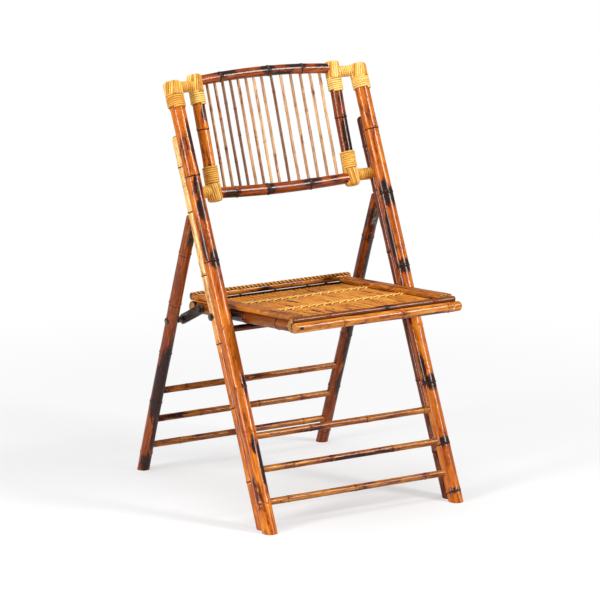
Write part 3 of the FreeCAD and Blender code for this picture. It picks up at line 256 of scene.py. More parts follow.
DARK = bamboo_finish(
    "burnt_bamboo", "bamboo_dark", (228, 142, 36), (186, 92, 14), (104, 40, 4), coat=0.36,
)
RUNG = bamboo_finish(
    "rung_bamboo", "bamboo_rung", (212, 142, 52), (156, 88, 24), (86, 40, 10), scorched=0.1, coat=0.22,
)
# Finish of the dark batten that is painted shade in the gap behind the slats' rear ends.
SHADE_BATTEN = (RUNG[0], "bamboo_seat")
SEAT = bamboo_finish(
    "seat_bamboo", "bamboo_seat", (236, 166, 62), (192, 112, 30), (108, 52, 12), coat=0.25,
)
SLAT = bamboo_finish(
    "slat_bamboo", "bamboo_seat", (240, 176, 70), (208, 128, 38), (138, 72, 18), scorched=-0.1, coat=0.15,
)
SPINDLE = bamboo_finish(
    "spindle_bamboo", "spindle", (222, 180, 128), (180, 132, 86), (112, 72, 44), coat=0.15,
)
CANE = cane_finish("split_cane", (250, 216, 132), (230, 172, 76), (190, 118, 38))
WEAVE = cane_finish("seat_cane", (250, 206, 116), (222, 154, 62), (164, 96, 30))
STEEL = steel_finish()


# Measuring the frame
def halves(values):
    """Middle of the range of some values, and half its width."""
    return (values.max() + values.min()) / 2, (values.max() - values.min()) / 2


def corners_of(node):
    mesh = frame["nodes"][node].data
    points = np.empty(len(mesh.vertices) * 3)
    mesh.vertices.foreach_get("co", points)
    return points.reshape(-1, 3)


class Axis:
    """The axis of a round member that runs in a known direction, with its ends and its radius.

    A member with a flat keeps its full radius on the side that its normal points to.
    """

    def __init__(self, points, direction, has_flat=False):
        self.direction = direction
        self.across = ACROSS if abs(direction[0]) < 0.5 else DEPTH
        self.normal = np.cross(direction, self.across)
        along, side, out = points @ direction, points @ self.across, points @ self.normal
        self.start, self.end = along.min(), along.max()
        self.middle_side, self.radius = halves(side)
        self.middle_out, _ = halves(out)
        if has_flat:
            self.middle_out = out.max() - self.radius
        self.length = self.end - self.start

    def local(self, points):
        """Across, out and along, counted from the start of the axis."""
        return np.stack((
            points @ self.across - self.middle_side,
            points @ self.normal - self.middle_out,
            points @ self.direction - self.start,
        ), axis=1)

    def world(self, points):
        side, out, along = points[:, 0:1], points[:, 1:2], points[:, 2:3]
        return (
            (side + self.middle_side) * self.across
            + (out + self.middle_out) * self.normal
            + (along + self.start) * self.direction
        )


def axis_of(node, direction, has_flat=False):
    return Axis(corners_of(node), direction, has_flat)


# Meshes
def tube(rows):
    """A closed tube through rows of points, each end shut by a fan round its middle."""
    count, columns = rows.shape[:2]
    points = np.concatenate((rows.reshape(-1, 3), rows[:1].mean(axis=1), rows[-1:].mean(axis=1)))
    around = [(column, (column + 1) % columns) for column in range(columns)]
    faces = []
    for low in range(0, (count - 1) * columns, columns):
        high = low + columns
        faces += [(low + column, low + following, high + following, high + column)
                  for column, following in around]
    low_middle, high_middle = count * columns, count * columns + 1
    top = (count - 1) * columns
    for column, following in around:
        faces.append((low_middle, following, column))
        faces.append((high_middle, top + column, top + following))
    return points, faces


def piece(name, points, faces, finish, body, replaced=(), **attributes):
    """A smooth mesh that rides on a body, with its vector attributes."""
    material, material_slot = finish
    mesh = bpy.data.meshes.new(name)
    mesh.from_pydata([tuple(point) for point in points], [], faces)
    for key, values in attributes.items():
        layer = mesh.attributes.new(key, "FLOAT_VECTOR", "POINT")
        layer.data.foreach_set("vector", np.asarray(values, np.float32).ravel())
    mesh.validate()
    mesh.shade_smooth()
    mesh.materials.append(material)
    thing = bpy.data.objects.new(name, mesh)
    bpy.context.scene.collection.objects.link(thing)
    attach(thing, body)
    if replaced:
        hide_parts(*replaced)


def sliced(points, faces, planes):
    """The mesh with what lies beyond each plane cut off and the cuts closed."""
    work = bmesh.new()
    made = [work.verts.new(point) for point in points]
    for face in faces:
        work.faces.new([made[index] for index in face])
    for place, outward in planes:
        whole = work.verts[:] + work.edges[:] + work.faces[:]
        found = bmesh.ops.bisect_plane(
            work, geom=whole, plane_co=Vector(place), plane_no=Vector(outward), clear_outer=True,
        )
        edges = [item for item in found["geom_cut"] if isinstance(item, bmesh.types.BMEdge)]
        bmesh.ops.holes_fill(work, edges=edges)
    work.verts.index_update()
    new_points = np.array([vert.co[:] for vert in work.verts])
    new_faces = [tuple(vert.index for vert in face.verts) for face in work.faces]
    work.free()
    return new_points, new_faces


# Culms
RIDGE_HEIGHT, RIDGE_WIDTH = 0.75 * MM, 2.4 * MM
GROOVE_DEPTH, GROOVE_WIDTH, GROOVE_BELOW = 0.45 * MM, 1.5 * MM, 4.2 * MM
SWELL_HEIGHT, SWELL_WIDTH = 0.35 * MM, 11 * MM
STAIN_WIDTH, STAIN_BELOW = 2.2 * MM, 2.6 * MM
SKIN_INSET = 0.45 * MM
END_ROUNDING, END_REACH = 1.1 * MM, 1.2 * MM
WAVER, OVALNESS = 0.006, 0.012
RIPPLE = 0.35 * MM
CUT_DEPTH, CUT_RIM = 0.1 * MM, 0.8 * MM

# Millimetres from a ring, and from an end, at which a culm has extra rows of points
RING_OFFSETS = np.arange(-9, 9.1, 1.2)
END_INSETS = (0.15, 0.5, 1.2)

# A plane is a point of it and the way out. How near to one a point counts as cut, and the share of
# the radius that shows cut fibres there
FLOOR_PLANE = ((0.0, 0.0, 0.0), (0.0, 0.0, -1.0))
ON_PLANE = 0.02 * MM
CORE_SHARE = 0.6


class Look:
    """What one culm looks like: node rings, scorch patches, some of them painted shade, bow and the shape of
    its ends.

    A ring is its distance along the culm and its strength. A patch is its distance along, the angle
    it faces, its reach along and round the culm, and its strength. The culm turns pale from one
    distance along it to another, and toast makes all of it browner.
    """

    def __init__(
        self, seed, rings=(), patches=(), bow=(0.0, 0.0), char=0.35, relief=1.0, tip=0.0,
        pale=None, toast=0.0,
    ):
        self.random = random.Random(seed)
        self.rings = [ring if isinstance(ring, tuple) else (ring, 1.0) for ring in rings]
        self.patches = list(patches)
        self.bow, self.tip, self.relief = bow, tip, relief
        self.char, self.toast, self.pale = char, toast, pale
        self.offset = np.array([self.random.uniform(0, 9) for _ in range(3)])

    def sprinkle(self, length, count):
        """Adds scorch patches in chance places."""
        for _ in range(count):
            place = self.random.uniform(0, length)
            facing = self.random.uniform(-math.pi, math.pi)
            reach = self.random.uniform(12, 46) * MM
            spread = self.random.uniform(0.35, 1.1)
            strength = self.random.uniform(0.35, 0.8)
            self.patches.append((place, facing, reach, spread, strength))


def node_relief(along, rings):
    """How far the surface stands proud near the node rings: a ridge, and a groove just below it."""
    relief = np.zeros_like(along)
    for place, _ in rings:
        away = along - place
        relief += RIDGE_HEIGHT * np.exp(-((away / RIDGE_WIDTH) ** 2))
        relief -= GROOVE_DEPTH * np.exp(-(((away + GROOVE_BELOW) / GROOVE_WIDTH) ** 2))
        relief += SWELL_HEIGHT * np.exp(-((away / SWELL_WIDTH) ** 2))
    return relief


def stations(length, rings, step, tip):
    """Distances along a culm, closer together near its rings and its ends."""
    places = set(np.linspace(0, length, max(2, int(length / step) + 1)))
    for place, _ in rings:
        for offset in RING_OFFSETS:
            if 0 < place + offset * MM < length:
                places.add(place + offset * MM)
    for inset in END_INSETS:
        places.update((inset * MM, length - inset * MM))
    if tip:
        quarter = np.linspace(0, math.pi / 2, 9)[1:-1]
        places.update(length - tip * (1 - math.sin(angle)) for angle in quarter)
    return np.array(sorted(places))


def culm_rows(axis, look, columns, step, curve=None):
    """Rows of points, in the axis's own coordinates."""
    along = stations(axis.length, look.rings, step, look.tip)
    angle = np.linspace(0, 2 * math.pi, columns, endpoint=False)
    share = along / axis.length
    wave = [look.random.uniform(0, 2 * math.pi) for _ in range(3)]
    radius = axis.radius * (1 + WAVER * np.sin(9 * share + wave[0])) - SKIN_INSET * look.relief
    radius = radius + node_relief(along, look.rings) * look.relief
    from_end = np.minimum(along, axis.length - along)
    radius = radius - END_ROUNDING * look.relief * np.clip(1 - from_end / END_REACH, 0, 1) ** 2
    if look.tip:
        beyond = np.clip(along - (axis.length - look.tip), 0, look.tip)
        radius = radius - look.tip + np.sqrt(np.clip(look.tip ** 2 - beyond ** 2, 0, None))
    oval = 1 + OVALNESS * np.cos(2 * angle[None, :] + wave[1] + 3 * share[:, None])
    sway = np.sin(math.pi * share)
    ripple = RIPPLE * look.relief * np.sin(11 * share + wave[2])
    side = radius[:, None] * oval * np.cos(angle)[None, :] + (look.bow[0] * sway + ripple)[:, None]
    out = radius[:, None] * oval * np.sin(angle)[None, :] + (look.bow[1] * sway)[:, None]
    if curve:
        out = out + np.array([curve(place) for place in along])[:, None]
    return np.stack((side, out, np.broadcast_to(along[:, None], side.shape)), axis=2)


def culm_marks(local, look, axis):
    """Ring, scorch and cut-end weights of points in the axis's own coordinates; some scorch patches are
    painted shade.
    """
    along = local[:, 2]
    angle = np.arctan2(local[:, 1], local[:, 0])
    ring = np.zeros(len(local))
    scorch_and_shade = np.zeros(len(local))
    for place, strength in look.rings:
        away = along - place
        ring = np.maximum(ring, strength * np.exp(-(((away + STAIN_BELOW) / STAIN_WIDTH) ** 2)))
        reach = look.random.uniform(10, 26) * MM
        facing = look.random.uniform(-math.pi, math.pi)
        lobe = 0.55 + 0.45 * np.cos(angle - facing)
        scorch_and_shade = np.maximum(scorch_and_shade, look.char * strength * lobe * np.exp(-np.abs(away) / reach))
    for place, facing, reach, spread, strength in look.patches:
        turn = (angle - facing + math.pi) % (2 * math.pi) - math.pi
        distance = ((along - place) / reach) ** 2 + (turn / spread) ** 2
        scorch_and_shade = np.maximum(scorch_and_shade, strength * np.exp(-distance ** 2))
    radial = np.hypot(local[:, 0], local[:, 1])
    at_end = (along < CUT_DEPTH) | (along > axis.length - CUT_DEPTH)
    cut = np.where(at_end & (radial < axis.radius - CUT_RIM), 1.0, 0.0)
    return np.stack((ring, scorch_and_shade, cut), axis=1)


def culm_tint(local, look):
    """Paleness and browning of points in the axis's own coordinates."""
    tint = np.zeros((len(local), 3))
    tint[:, 1] = look.toast
    if look.pale:
        low, high = look.pale
        share = np.clip((local[:, 2] - low) / (high - low), 0, 1)
        tint[:, 0] = share ** 2 * (3 - 2 * share)
    return tint


def dress(name, node, look, finish, points, faces, local, marks):
    """Replaces a node of the frame by a mesh of bamboo, whose points are also given locally."""
    piece(
        name, points, faces, finish, BODY_OF[node], (node,),
        culm=local + look.offset, marks=marks, tint=culm_tint(local, look),
    )


def make_culm(node, direction, look, finish, columns, step, has_flat=False, shape=None, planes=()):
    """Replaces one round member of the frame by a culm with nodes, scorch marks, some of them painted shade,
    and cut ends.
    """
    axis = axis_of(node, direction, has_flat)
    rows = culm_rows(axis, look, columns, step)
    if shape:
        rows = shape(rows, axis)
    points, faces = tube(rows)
    points = axis.world(points)
    if planes:
        points, faces = sliced(points, faces, planes)
    local = axis.local(points)
    marks = culm_marks(local, look, axis)
    for place, outward in planes:
        on_cut = np.abs((points - np.array(place)) @ np.array(outward)) < ON_PLANE
        from_axis = np.hypot(local[on_cut, 0], local[on_cut, 1])
        marks[on_cut, 2] = np.where(from_axis < axis.radius * CORE_SHARE, 1.0, 0.0)
    dress(node + "_culm", node, look, finish, points, faces, local, marks)


BED_BELOW = 0.3 * MM


def flattened(leaf_node, wood_side, above):
    """Shapes a member to the flat bed of a hinge leaf that lies on it, and on to a distance above.

    Wood side is -1 where the wood lies below the leaf along the member's normal, and 1 otherwise.
    """
    def shape(rows, axis):
        leaf = axis.local(corners_of(leaf_node))
        level = leaf[:, 1].min() if wood_side < 0 else leaf[:, 1].max()
        low = leaf[:, 2].min() - BED_BELOW
        high = leaf[:, 2].max() + above
        inside = (rows[..., 2] > low) & (rows[..., 2] < high)
        limit = np.minimum if wood_side < 0 else np.maximum
        rows[..., 1] = np.where(inside, limit(rows[..., 1], level), rows[..., 1])
        return rows
    return shape


# Front poles, with the thinner poles nailed along their backs
POLE_RINGS = {
    "left": [
        (0.071, 0.7), (0.226, 0.5), (0.321, 0.6), (0.452, 0.6), (0.597, 0.9), (0.786, 1.0), (0.935, 0.6),
    ],
    "right": [
        (0.030, 1.0), (0.135, 1.0), (0.271, 1.0), (0.400, 0.5), (0.533, 0.7), (0.700, 0.9), (0.847, 0.9),
    ],
}
POLE_PATCHES = {
    "left": [
        (0.150, -0.9, 0.052, 0.7, 1.3), (0.190, -1.6, 0.030, 0.5, 0.7), (0.095, -2.6, 0.040, 0.6, 0.7),
        (0.326, -1.0, 0.026, 0.6, 0.8), (0.598, -1.2, 0.020, 1.2, 0.8), (0.740, -1.7, 0.055, 0.8, 0.8),
        (0.640, -2.5, 0.050, 0.5, 0.6), (0.860, -1.1, 0.050, 0.8, 0.7), (0.480, -0.6, 0.040, 0.5, 0.5),
    ],
    "right": [
        (0.700, -2.2, 0.028, 0.8, 1.2), (0.690, -1.2, 0.024, 0.7, 1.0), (0.533, -1.7, 0.016, 1.4, 0.9),
        (0.270, -1.6, 0.018, 0.9, 1.0), (0.300, -2.4, 0.040, 0.5, 0.8), (0.140, -1.8, 0.010, 1.0, 0.7),
        (0.030, -1.6, 0.009, 1.2, 0.6), (0.600, -2.8, 0.080, 0.5, 0.7), (0.450, -2.6, 0.050, 0.5, 0.6),
    ],
}
for word, side in SIDES.items():
    bow = (-1.6 * MM * side, -0.8 * MM)
    look = Look(10 + side, POLE_RINGS[word], POLE_PATCHES[word], bow, 0.4)
    look.sprinkle(0.98, 3)
    make_culm("front_pole_" + word, POLE, look, DARK, 44, 5 * MM, planes=(FLOOR_PLANE,))
    look = Look(
        20 + side, [0.11, 0.27, 0.41, 0.56, 0.70, 0.80], (), char=0.3, tip=9 * MM,
        pale=(0.36, 0.62) if side < 0 else None, toast=0.0 if side < 0 else 0.6,
    )
    look.sprinkle(0.87, 4)
    make_culm(
        "backing_pole_" + word, POLE, look, DARK, 36, 5 * MM,
        planes=(FLOOR_PLANE,), shape=flattened("hinge_pole_leaf_" + word, -1, 3 * MM),
    )


# Rear legs, their heads cut parallel to the poles
LEG_RINGS = {"left": [0.052, 0.188, 0.318, 0.447, 0.575], "right": [0.040, 0.160, 0.300, 0.430, 0.560]}
LEG_PATCHES = {
    "left": [
        (0.240, -1.6, 0.110, 1.8, 1.3), (0.120, -1.2, 0.060, 0.9, 1.0), (0.330, -0.8, 0.080, 0.8, 0.9),
        (0.030, -1.6, 0.030, 1.6, 0.8),
    ],
    "right": [
        (0.330, -0.8, 0.150, 1.3, 1.2), (0.180, -0.9, 0.060, 1.0, 1.1), (0.480, -1.0, 0.090, 1.0, 0.9),
        (0.060, -0.7, 0.040, 0.7, 0.9),
    ],
}
pole_back = np.cross(POLE, ACROSS)
for word, side in SIDES.items():
    node = "rear_leg_" + word
    head = pole_back * (corners_of(node) @ pole_back).min()
    bow = (0.8 * MM * side, 0.6 * MM)
    look = Look(30 + side, LEG_RINGS[word], LEG_PATCHES[word], bow, 0.6, toast=0.45)
    look.sprinkle(0.62, 8)
    make_culm(
        node, LEG, look, DARK, 40, 5 * MM,
        planes=(FLOOR_PLANE, (tuple(head), tuple(-pole_back))),
        shape=flattened("hinge_leg_leaf_" + word, 1, 40 * MM),
    )


# Bars that run across the chair
BAR_SPRINKLE = 0.4


def make_bar(node, seed, rings, finish, columns=24, marks=4, char=0.4, **look_options):
    rings = [ring if isinstance(ring, tuple) else (ring, 0.8) for ring in rings]
    look = Look(seed, rings, char=char, **look_options)
    look.sprinkle(BAR_SPRINKLE, marks)
    make_culm(node, ACROSS, look, finish, columns, 6 * MM)


RUNG_LOOKS = {
    "front_rung_lower": (41, [0.06, 0.225, 0.40], dict(patches=[(0.235, -1.2, 0.035, 2.0, 0.9)])),
    "front_rung_middle": (42, [0.09, 0.182, 0.335], dict(patches=[(0.235, -1.2, 0.060, 2.4, 1.3)])),
    "front_rung_upper": (43, [0.15, 0.29, 0.435], dict(patches=[(0.17, -0.4, 0.080, 1.4, 0.8)])),
    "front_stretcher": (44, [0.11, 0.26, 0.37], dict(patches=[(0.1, 1.2, 0.12, 2.0, 0.9)], toast=0.9)),
    "rear_rung_lower": (45, [0.08, 0.24, 0.40], dict(char=0.25)),
    "rear_rung_middle": (46, [0.12, 0.27, 0.38], {}),
    "rear_rung_upper": (47, [0.07, 0.22, 0.36], {}),
}
for node, (seed, rings, look_options) in RUNG_LOOKS.items():
    make_bar(node, seed, rings, RUNG, relief=0.5, **look_options)


# Back panel
TOP_BOW = 9.0 * MM
BOTTOM_BOW = -5.0 * MM
RAIL_SPAN = 0.344


def arc(bow, span, length):
    """Rise of a bowed rail's axis, which has its crown in the middle of its length."""
    bend = (span ** 2 / 4 + bow ** 2) / (2 * abs(bow))
    crown = math.copysign(1.0, bow)
    return lambda place: crown * (math.sqrt(bend ** 2 - (place - length / 2) ** 2) - bend)


def make_panel_rail(node, seed, rings, bow, patches):
    """A bowed rail, built level in the panel's plane and laid on its axis."""
    points = corners_of(node)
    axis = Axis(points, ACROSS)
    axis.across, axis.normal = np.cross(ACROSS, PANEL), PANEL
    side, out = points @ axis.across, points @ axis.normal
    axis.middle_side, axis.radius = halves(side)
    axis.middle_out = out.max() - axis.radius if bow > 0 else out.min() + axis.radius
    look = Look(seed, rings, patches, char=0.55, toast=0.4)
    look.sprinkle(0.33, 7)
    rows = culm_rows(axis, look, 36, 4 * MM, arc(bow, RAIL_SPAN, axis.length))
    points, faces = tube(rows)
    marks = culm_marks(points, look, axis)
    dress(node + "_culm", node, look, DARK, axis.world(points), faces, points, marks)


make_panel_rail("back_top_rail", 51, [(0.058, 1.0), (0.178, 0.9), (0.262, 1.0)], TOP_BOW, [
    (0.07, 0.6, 0.030, 1.2, 1.1), (0.175, 0.4, 0.020, 1.4, 1.1), (0.25, 0.8, 0.030, 1.0, 1.1),
    (0.31, 0.2, 0.02, 1.2, 0.9),
])
make_panel_rail("back_bottom_rail", 52, [(0.048, 0.7), (0.125, 1.0), (0.232, 1.0)], BOTTOM_BOW, [
    (0.128, 0.3, 0.012, 2.0, 1.3), (0.235, 0.4, 0.025, 1.2, 1.0), (0.03, -0.4, 0.025, 1.0, 0.9),
])
STILE_LOOKS = {
    "left": ([0.068, 0.155], [(0.062, -1.9, 0.014, 1.0, 1.3), (0.110, -2.6, 0.040, 0.5, 0.5)]),
    "right": ([0.048, 0.150], [(0.100, -1.4, 0.060, 1.1, 1.0), (0.060, -1.0, 0.020, 1.6, 1.0)]),
}
for word, side in SIDES.items():
    rings, patches = STILE_LOOKS[word]
    look = Look(60 + side, rings, patches, char=0.5, toast=0.2 + 0.25 * side)
    look.sprinkle(0.26, 4)
    make_culm("back_stile_" + word, PANEL, look, DARK, 36, 4 * MM)
    for level in ("top", "bottom"):
        look = Look(70 + side, [], (), char=0.2, relief=0.4, pale=(-0.2, -0.1))
        make_culm(f"back_{level}_connector_{word}", ACROSS, look, SPINDLE, 28, 4 * MM)


def parts_across(points, least_gap):
    """The points in groups that lie apart across the chair."""
    order = np.argsort(points[:, 0])
    breaks = np.where(np.diff(points[order, 0]) > least_gap)[0] + 1
    return [points[group] for group in np.split(order, breaks)]


SLAT_PITCH = 9.6 * MM


def slat_points():
    """The points of the seat's slats, slat by slat."""
    points = corners_of("seat_slats")
    number = ((points[:, 0] - points[:, 0].min()) / SLAT_PITCH + 0.05).astype(int)
    return [points[number == index] for index in range(number.max() + 1)]


def merge(meshes):
    """Several meshes, each its points, its faces and its attributes, as one."""
    faces = []
    first = 0
    for points, some_faces, *_ in meshes:
        faces += [tuple(index + first for index in face) for face in some_faces]
        first += len(points)
    points, _, *attributes = zip(*meshes)
    return np.concatenate(points), faces, *(np.concatenate(values) for values in attributes)


BROWN_SPINDLES = (2, 3, 8)


def make_spindles():
    meshes = []
    for index, points in enumerate(parts_across(corners_of("back_spindles"), 4 * MM)):
        axis = Axis(points, PANEL)
        dice = random.Random(100 + index)
        rings = [(dice.uniform(0.05, 0.12), 0.7), (dice.uniform(0.14, 0.22), 0.7)]
        brown = 0.8 if index in BROWN_SPINDLES else dice.uniform(-0.3, 0.15)
        bow = (dice.uniform(-0.5, 0.5) * MM, 0.0)
        look = Look(200 + index, rings, (), bow, 0.5, relief=0.45, toast=brown)
        look.sprinkle(0.24, 2)
        local, faces = tube(culm_rows(axis, look, 14, 6 * MM))
        marks = culm_marks(local, look, axis)
        meshes.append((axis.world(local), faces, local + look.offset, marks, culm_tint(local, look)))
    points, faces, places, marks, tints = merge(meshes)
    piece(
        "spindles", points, faces, SPINDLE, "front_frame", ("back_spindles",),
        culm=places, marks=marks, tint=tints,
    )


make_spindles()


# Cane strands
STRAND = 4.6 * MM
STRAND_HEIGHT = 3.2 * MM
STRIP_HEIGHT = 3.1 * MM
BAR_LIFT = 0.2 * MM
MEMBER_LIFT = 0.3 * MM
STRIP_TWIST = 0.35
STEPS_PER_TURN = 28

# How far apart in the noise two strands take their fibres
SHIFT_ACROSS, SHIFT_OUT = 0.37, 0.11

# Outline of a strand, from one edge over its rounded face to the other
STRAND_OUTLINE = np.array((
    (0, -0.5), (0.55, -0.5), (0.88, -0.3), (1.0, 0), (0.88, 0.3), (0.55, 0.5), (0, 0.5),
))

# Thickness of the round strand of the frame, and where its windings divide across the chair
ROUND_STRAND = 3.4 * MM
POLE_REACH = 0.2125
TOP_STILE_REACH = 0.1875
BOTTOM_STILE_REACH = 0.185


def strand(path, outward, width, thickness, tone, seed, shade=0.0):
    """A split cane strand along a path, flat below and rounded above."""
    path, outward = np.asarray(path), np.asarray(outward)
    tangent = np.gradient(path, axis=0)
    tangent /= np.linalg.norm(tangent, axis=1)[:, None]
    outward = outward - (outward * tangent).sum(axis=1)[:, None] * tangent
    outward /= np.linalg.norm(outward, axis=1)[:, None]
    sideways = np.cross(tangent, outward)
    heights, sides = STRAND_OUTLINE[:, 0] * thickness, STRAND_OUTLINE[:, 1] * width
    rows = path[:, None] + heights[None, :, None] * outward[:, None]
    rows = rows + sides[None, :, None] * sideways[:, None]
    points, faces = tube(rows)
    travel = np.concatenate(([0], np.cumsum(np.linalg.norm(np.diff(path, axis=0), axis=1))))
    across = np.tile(sides, len(path))
    ahead = np.repeat(travel, len(sides))
    places = np.stack((
        across + seed * SHIFT_ACROSS, np.full(len(across), seed * SHIFT_OUT), ahead,
    ), axis=1)
    places = np.concatenate((places, places[:1], places[-1:]))
    # The second mark is painted shade, darkest at the strand's flat sides where it meets its neighbours.
    edge = np.tile(1 - STRAND_OUTLINE[:, 0], len(path))
    marks = np.stack((np.full(len(edge), tone), edge, np.full(len(edge), shade)), axis=1)
    marks = np.concatenate((marks, marks[:1], marks[-1:]))
    return points, faces, places, marks


def winding(axis, radius, start, turns, width, thickness, seed, shade=0.0):
    """A strand wound up round an axis from a place along it."""
    dice = random.Random(seed)
    count = int(turns * STEPS_PER_TURN)
    angle = np.linspace(0, 2 * math.pi * turns, count + 1) + dice.uniform(0, 6)
    jitter = 0.25 * MM * np.sin(angle * 0.83 + dice.uniform(0, 6))
    rise = start + width * np.linspace(0, turns, count + 1) + jitter
    local = np.stack((radius * np.cos(angle), radius * np.sin(angle), rise), axis=1)
    outward = np.cos(angle)[:, None] * axis.across + np.sin(angle)[:, None] * axis.normal
    tone = dice.uniform(0.2, 0.7)
    return strand(axis.world(local), outward, width * 0.93, thickness, tone, seed, shade)


def end_strips(axis, start, end, thickness, seed):
    """Strands laid along a member, side by side all round, that turn over its end."""
    meshes = []
    radius = axis.radius + BAR_LIFT
    count = round(2 * math.pi * (axis.radius + 1 * MM) / STRAND)
    dice = random.Random(seed)
    width = 2 * math.pi * (radius + thickness / 2) / count
    turn = math.copysign(1.0, end - start)
    for index in range(count):
        angle = 2 * math.pi * (index + dice.uniform(-0.08, 0.08)) / count
        path = [(radius, place) for place in np.linspace(start, end - turn * 3 * MM, 8)]
        path += [
            (radius - 0.5 * MM, end - turn * 1 * MM), (radius - 2.2 * MM, end + turn * 0.6 * MM),
            (radius * 0.6, end + turn * 1.2 * MM), (radius * 0.12, end + turn * 1.5 * MM),
        ]
        path = np.array(path)
        slope = np.gradient(path, axis=0)
        radial_out, along_out = turn * slope[:, 1], -turn * slope[:, 0]
        angles = angle + (path[:, 1] - start) / (end - start) * STRIP_TWIST
        spoke = np.cos(angles)[:, None] * axis.across + np.sin(angles)[:, None] * axis.normal
        reach = path[:, 0]
        local = np.stack((reach * np.cos(angles), reach * np.sin(angles), path[:, 1]), axis=1)
        outward = radial_out[:, None] * spoke + along_out[:, None] * axis.direction
        tone = dice.uniform(0, 1)
        meshes.append(strand(
            axis.world(local), outward, width * 0.9, thickness, tone, seed + index * 0.7,
        ))
    return meshes


def wind_member(axis, points, seed):
    """A winding over the length that these points take, with its two ends along the axis."""
    along = axis.local(points)[:, 2]
    start, length = along.min(), along.max() - along.min()
    turns = round((length - ROUND_STRAND) / STRAND)
    radius = axis.radius + MEMBER_LIFT
    strands = winding(axis, radius, start + STRAND / 2, turns, STRAND, STRAND_HEIGHT, seed)
    return strands, start, start + turns * STRAND


def wind_bar(axis, thickness, seed):
    """A winding over the whole length of a short bar."""
    turns = int(axis.length / STRAND)
    start = (axis.length - turns * STRAND) / 2
    return winding(axis, axis.radius + BAR_LIFT, start, turns, STRAND, thickness, seed)


def strand_piece(name, meshes, finish, body, replaced=()):
    """One piece of several strands."""
    points, faces, places, marks = merge(meshes)
    piece(name, points, faces, finish, body, replaced, culm=places, marks=marks)


def make_top_windings(word, side):
    node = "cane_winding_top_" + word
    pole = axis_of("front_pole_" + word, POLE)
    stile = axis_of("back_stile_" + word, PANEL)
    bar = axis_of("back_top_connector_" + word, ACROSS)
    points = corners_of(node)
    reach = np.abs(points[:, 0])
    pole_points = points[reach > POLE_REACH]
    stile_points = points[reach < TOP_STILE_REACH]
    meshes = []
    for member, some, number in ((pole, pole_points, 1), (stile, stile_points, 2)):
        seed = number + side * 10
        strands, _, top = wind_member(member, some, seed + 300)
        meshes.append(strands)
        meshes += end_strips(member, top + STRAND * 0.25, member.length, STRIP_HEIGHT, seed + 400)
    meshes.append(wind_bar(bar, 3.4 * MM, 340 + side))
    strand_piece(node + "_strands", meshes, CANE, "front_frame", (node,))


def make_bottom_windings(word, side):
    node = "cane_winding_bottom_" + word
    stile = axis_of("back_stile_" + word, PANEL)
    bar = axis_of("back_bottom_connector_" + word, ACROSS)
    points = corners_of(node)
    stile_points = points[np.abs(points[:, 0]) < BOTTOM_STILE_REACH]
    strands, foot, _ = wind_member(stile, stile_points, 320 + side)
    meshes = [strands]
    meshes += end_strips(stile, foot + STRAND * 0.2, 0.0, STRIP_HEIGHT, 430 + side)
    meshes.append(wind_bar(bar, 3.0 * MM, 360 + side))
    strand_piece(node + "_strands", meshes, CANE, "front_frame", (node,))


for word, side in SIDES.items():
    make_top_windings(word, side)
    make_bottom_windings(word, side)


# Seat
def rail_shape(node):
    """The flat along the top of a side rail, and the step at its front below the trim."""
    def shape(rows, axis):
        local = axis.local(corners_of(node))
        flat = local[:, 1].min()
        step_level = local[local[:, 2] < 2 * MM, 1].min()
        step_end = local[local[:, 1] < step_level - 0.5 * MM, 2].min()
        level = np.where(rows[..., 2] < step_end, step_level, flat)
        rows[..., 1] = np.maximum(rows[..., 1], level)
        return rows
    return shape


for word, side in SIDES.items():
    node = "seat_side_rail_" + word
    # Painted shadow: the patch at 0.262, all round the rail, darkens it where the front pole and the pivot
    # shade it.
    patches = [(0.262, 1.5, 0.060, 9.0, 1.1)]
    look = Look(80 + side, [0.07, 0.21, 0.34], patches, char=0.4, toast=0.6)
    look.sprinkle(0.38, 7)
    make_culm(
        node, SEAT_BACK, look, SEAT, 40, 4 * MM, has_flat=True, shape=rail_shape(node),
    )


NOSING_PATCHES = [
    (0.012, 3.0, 0.003, 0.24, 2.2), (0.16, -1.9, 0.03, 0.6, 0.7), (0.27, -1.4, 0.06, 0.5, 0.8),
    (0.34, -2.2, 0.03, 0.7, 0.7),
]
SEAT_BAR_LOOKS = {
    "seat_nosing": (
        91, [(0.118, 0.8), (0.262, 0.7), (0.375, 0.8)], 36, dict(marks=0, tip=7 * MM, patches=NOSING_PATCHES),
    ),
    "seat_front_trim": (92, [(0.09, 0.5), (0.23, 0.5), (0.35, 0.5)], 28, dict(char=0.5, toast=0.6)),
    # Painted shade: the long patch on the rear rail darkens it for the dark gap behind the slats' rear ends.
    "seat_rear_rail": (
        93, [(0.07, 0.6), (0.21, 0.6), (0.34, 0.6)], 36,
        dict(toast=0.4, patches=[(0.19, 2.0, 0.35, 1.1, 1.4)]),
    ),
    "seat_rear_bar": (94, [(0.12, 0.6), (0.29, 0.6)], 30, {}),
}
for node, (seed, rings, columns, look_options) in SEAT_BAR_LOOKS.items():
    make_bar(node, seed, rings, SEAT, columns, **look_options)
for index, word in enumerate(("front", "second", "third", "rear")):
    make_bar("seat_cross_bar_" + word, 95 + index, [0.08, 0.2, 0.3], RUNG, 22)


SEAT_UP = leaning_back(6)


class SeatFrame:
    """Points of the seat by how far they lie across, up and back, in the seat's own directions."""

    def __init__(self, points):
        self.side = points @ ACROSS
        self.up = points @ SEAT_UP
        self.back = points @ SEAT_BACK

    @staticmethod
    def world(local):
        return local[:, 0:1] * ACROSS + local[:, 1:2] * SEAT_UP + local[:, 2:3] * SEAT_BACK


# Outline of a board, in halves of its width and in its height
LATH_EDGES = (-0.34, 0.34)
LATH_GROOVE_WIDTH, LATH_GROOVE_DEPTH = 0.035, 0.16
SHOULDER, SHOULDER_WIDTH, SHOULDER_DROP = 0.9, 0.1, 0.35
CROWN_HEIGHT, CROWN_WAVES = 0.03, 9.4
BOARD_BASE = [(1, 0.12), (0.96, 0), (-0.96, 0), (-1, 0.12)]


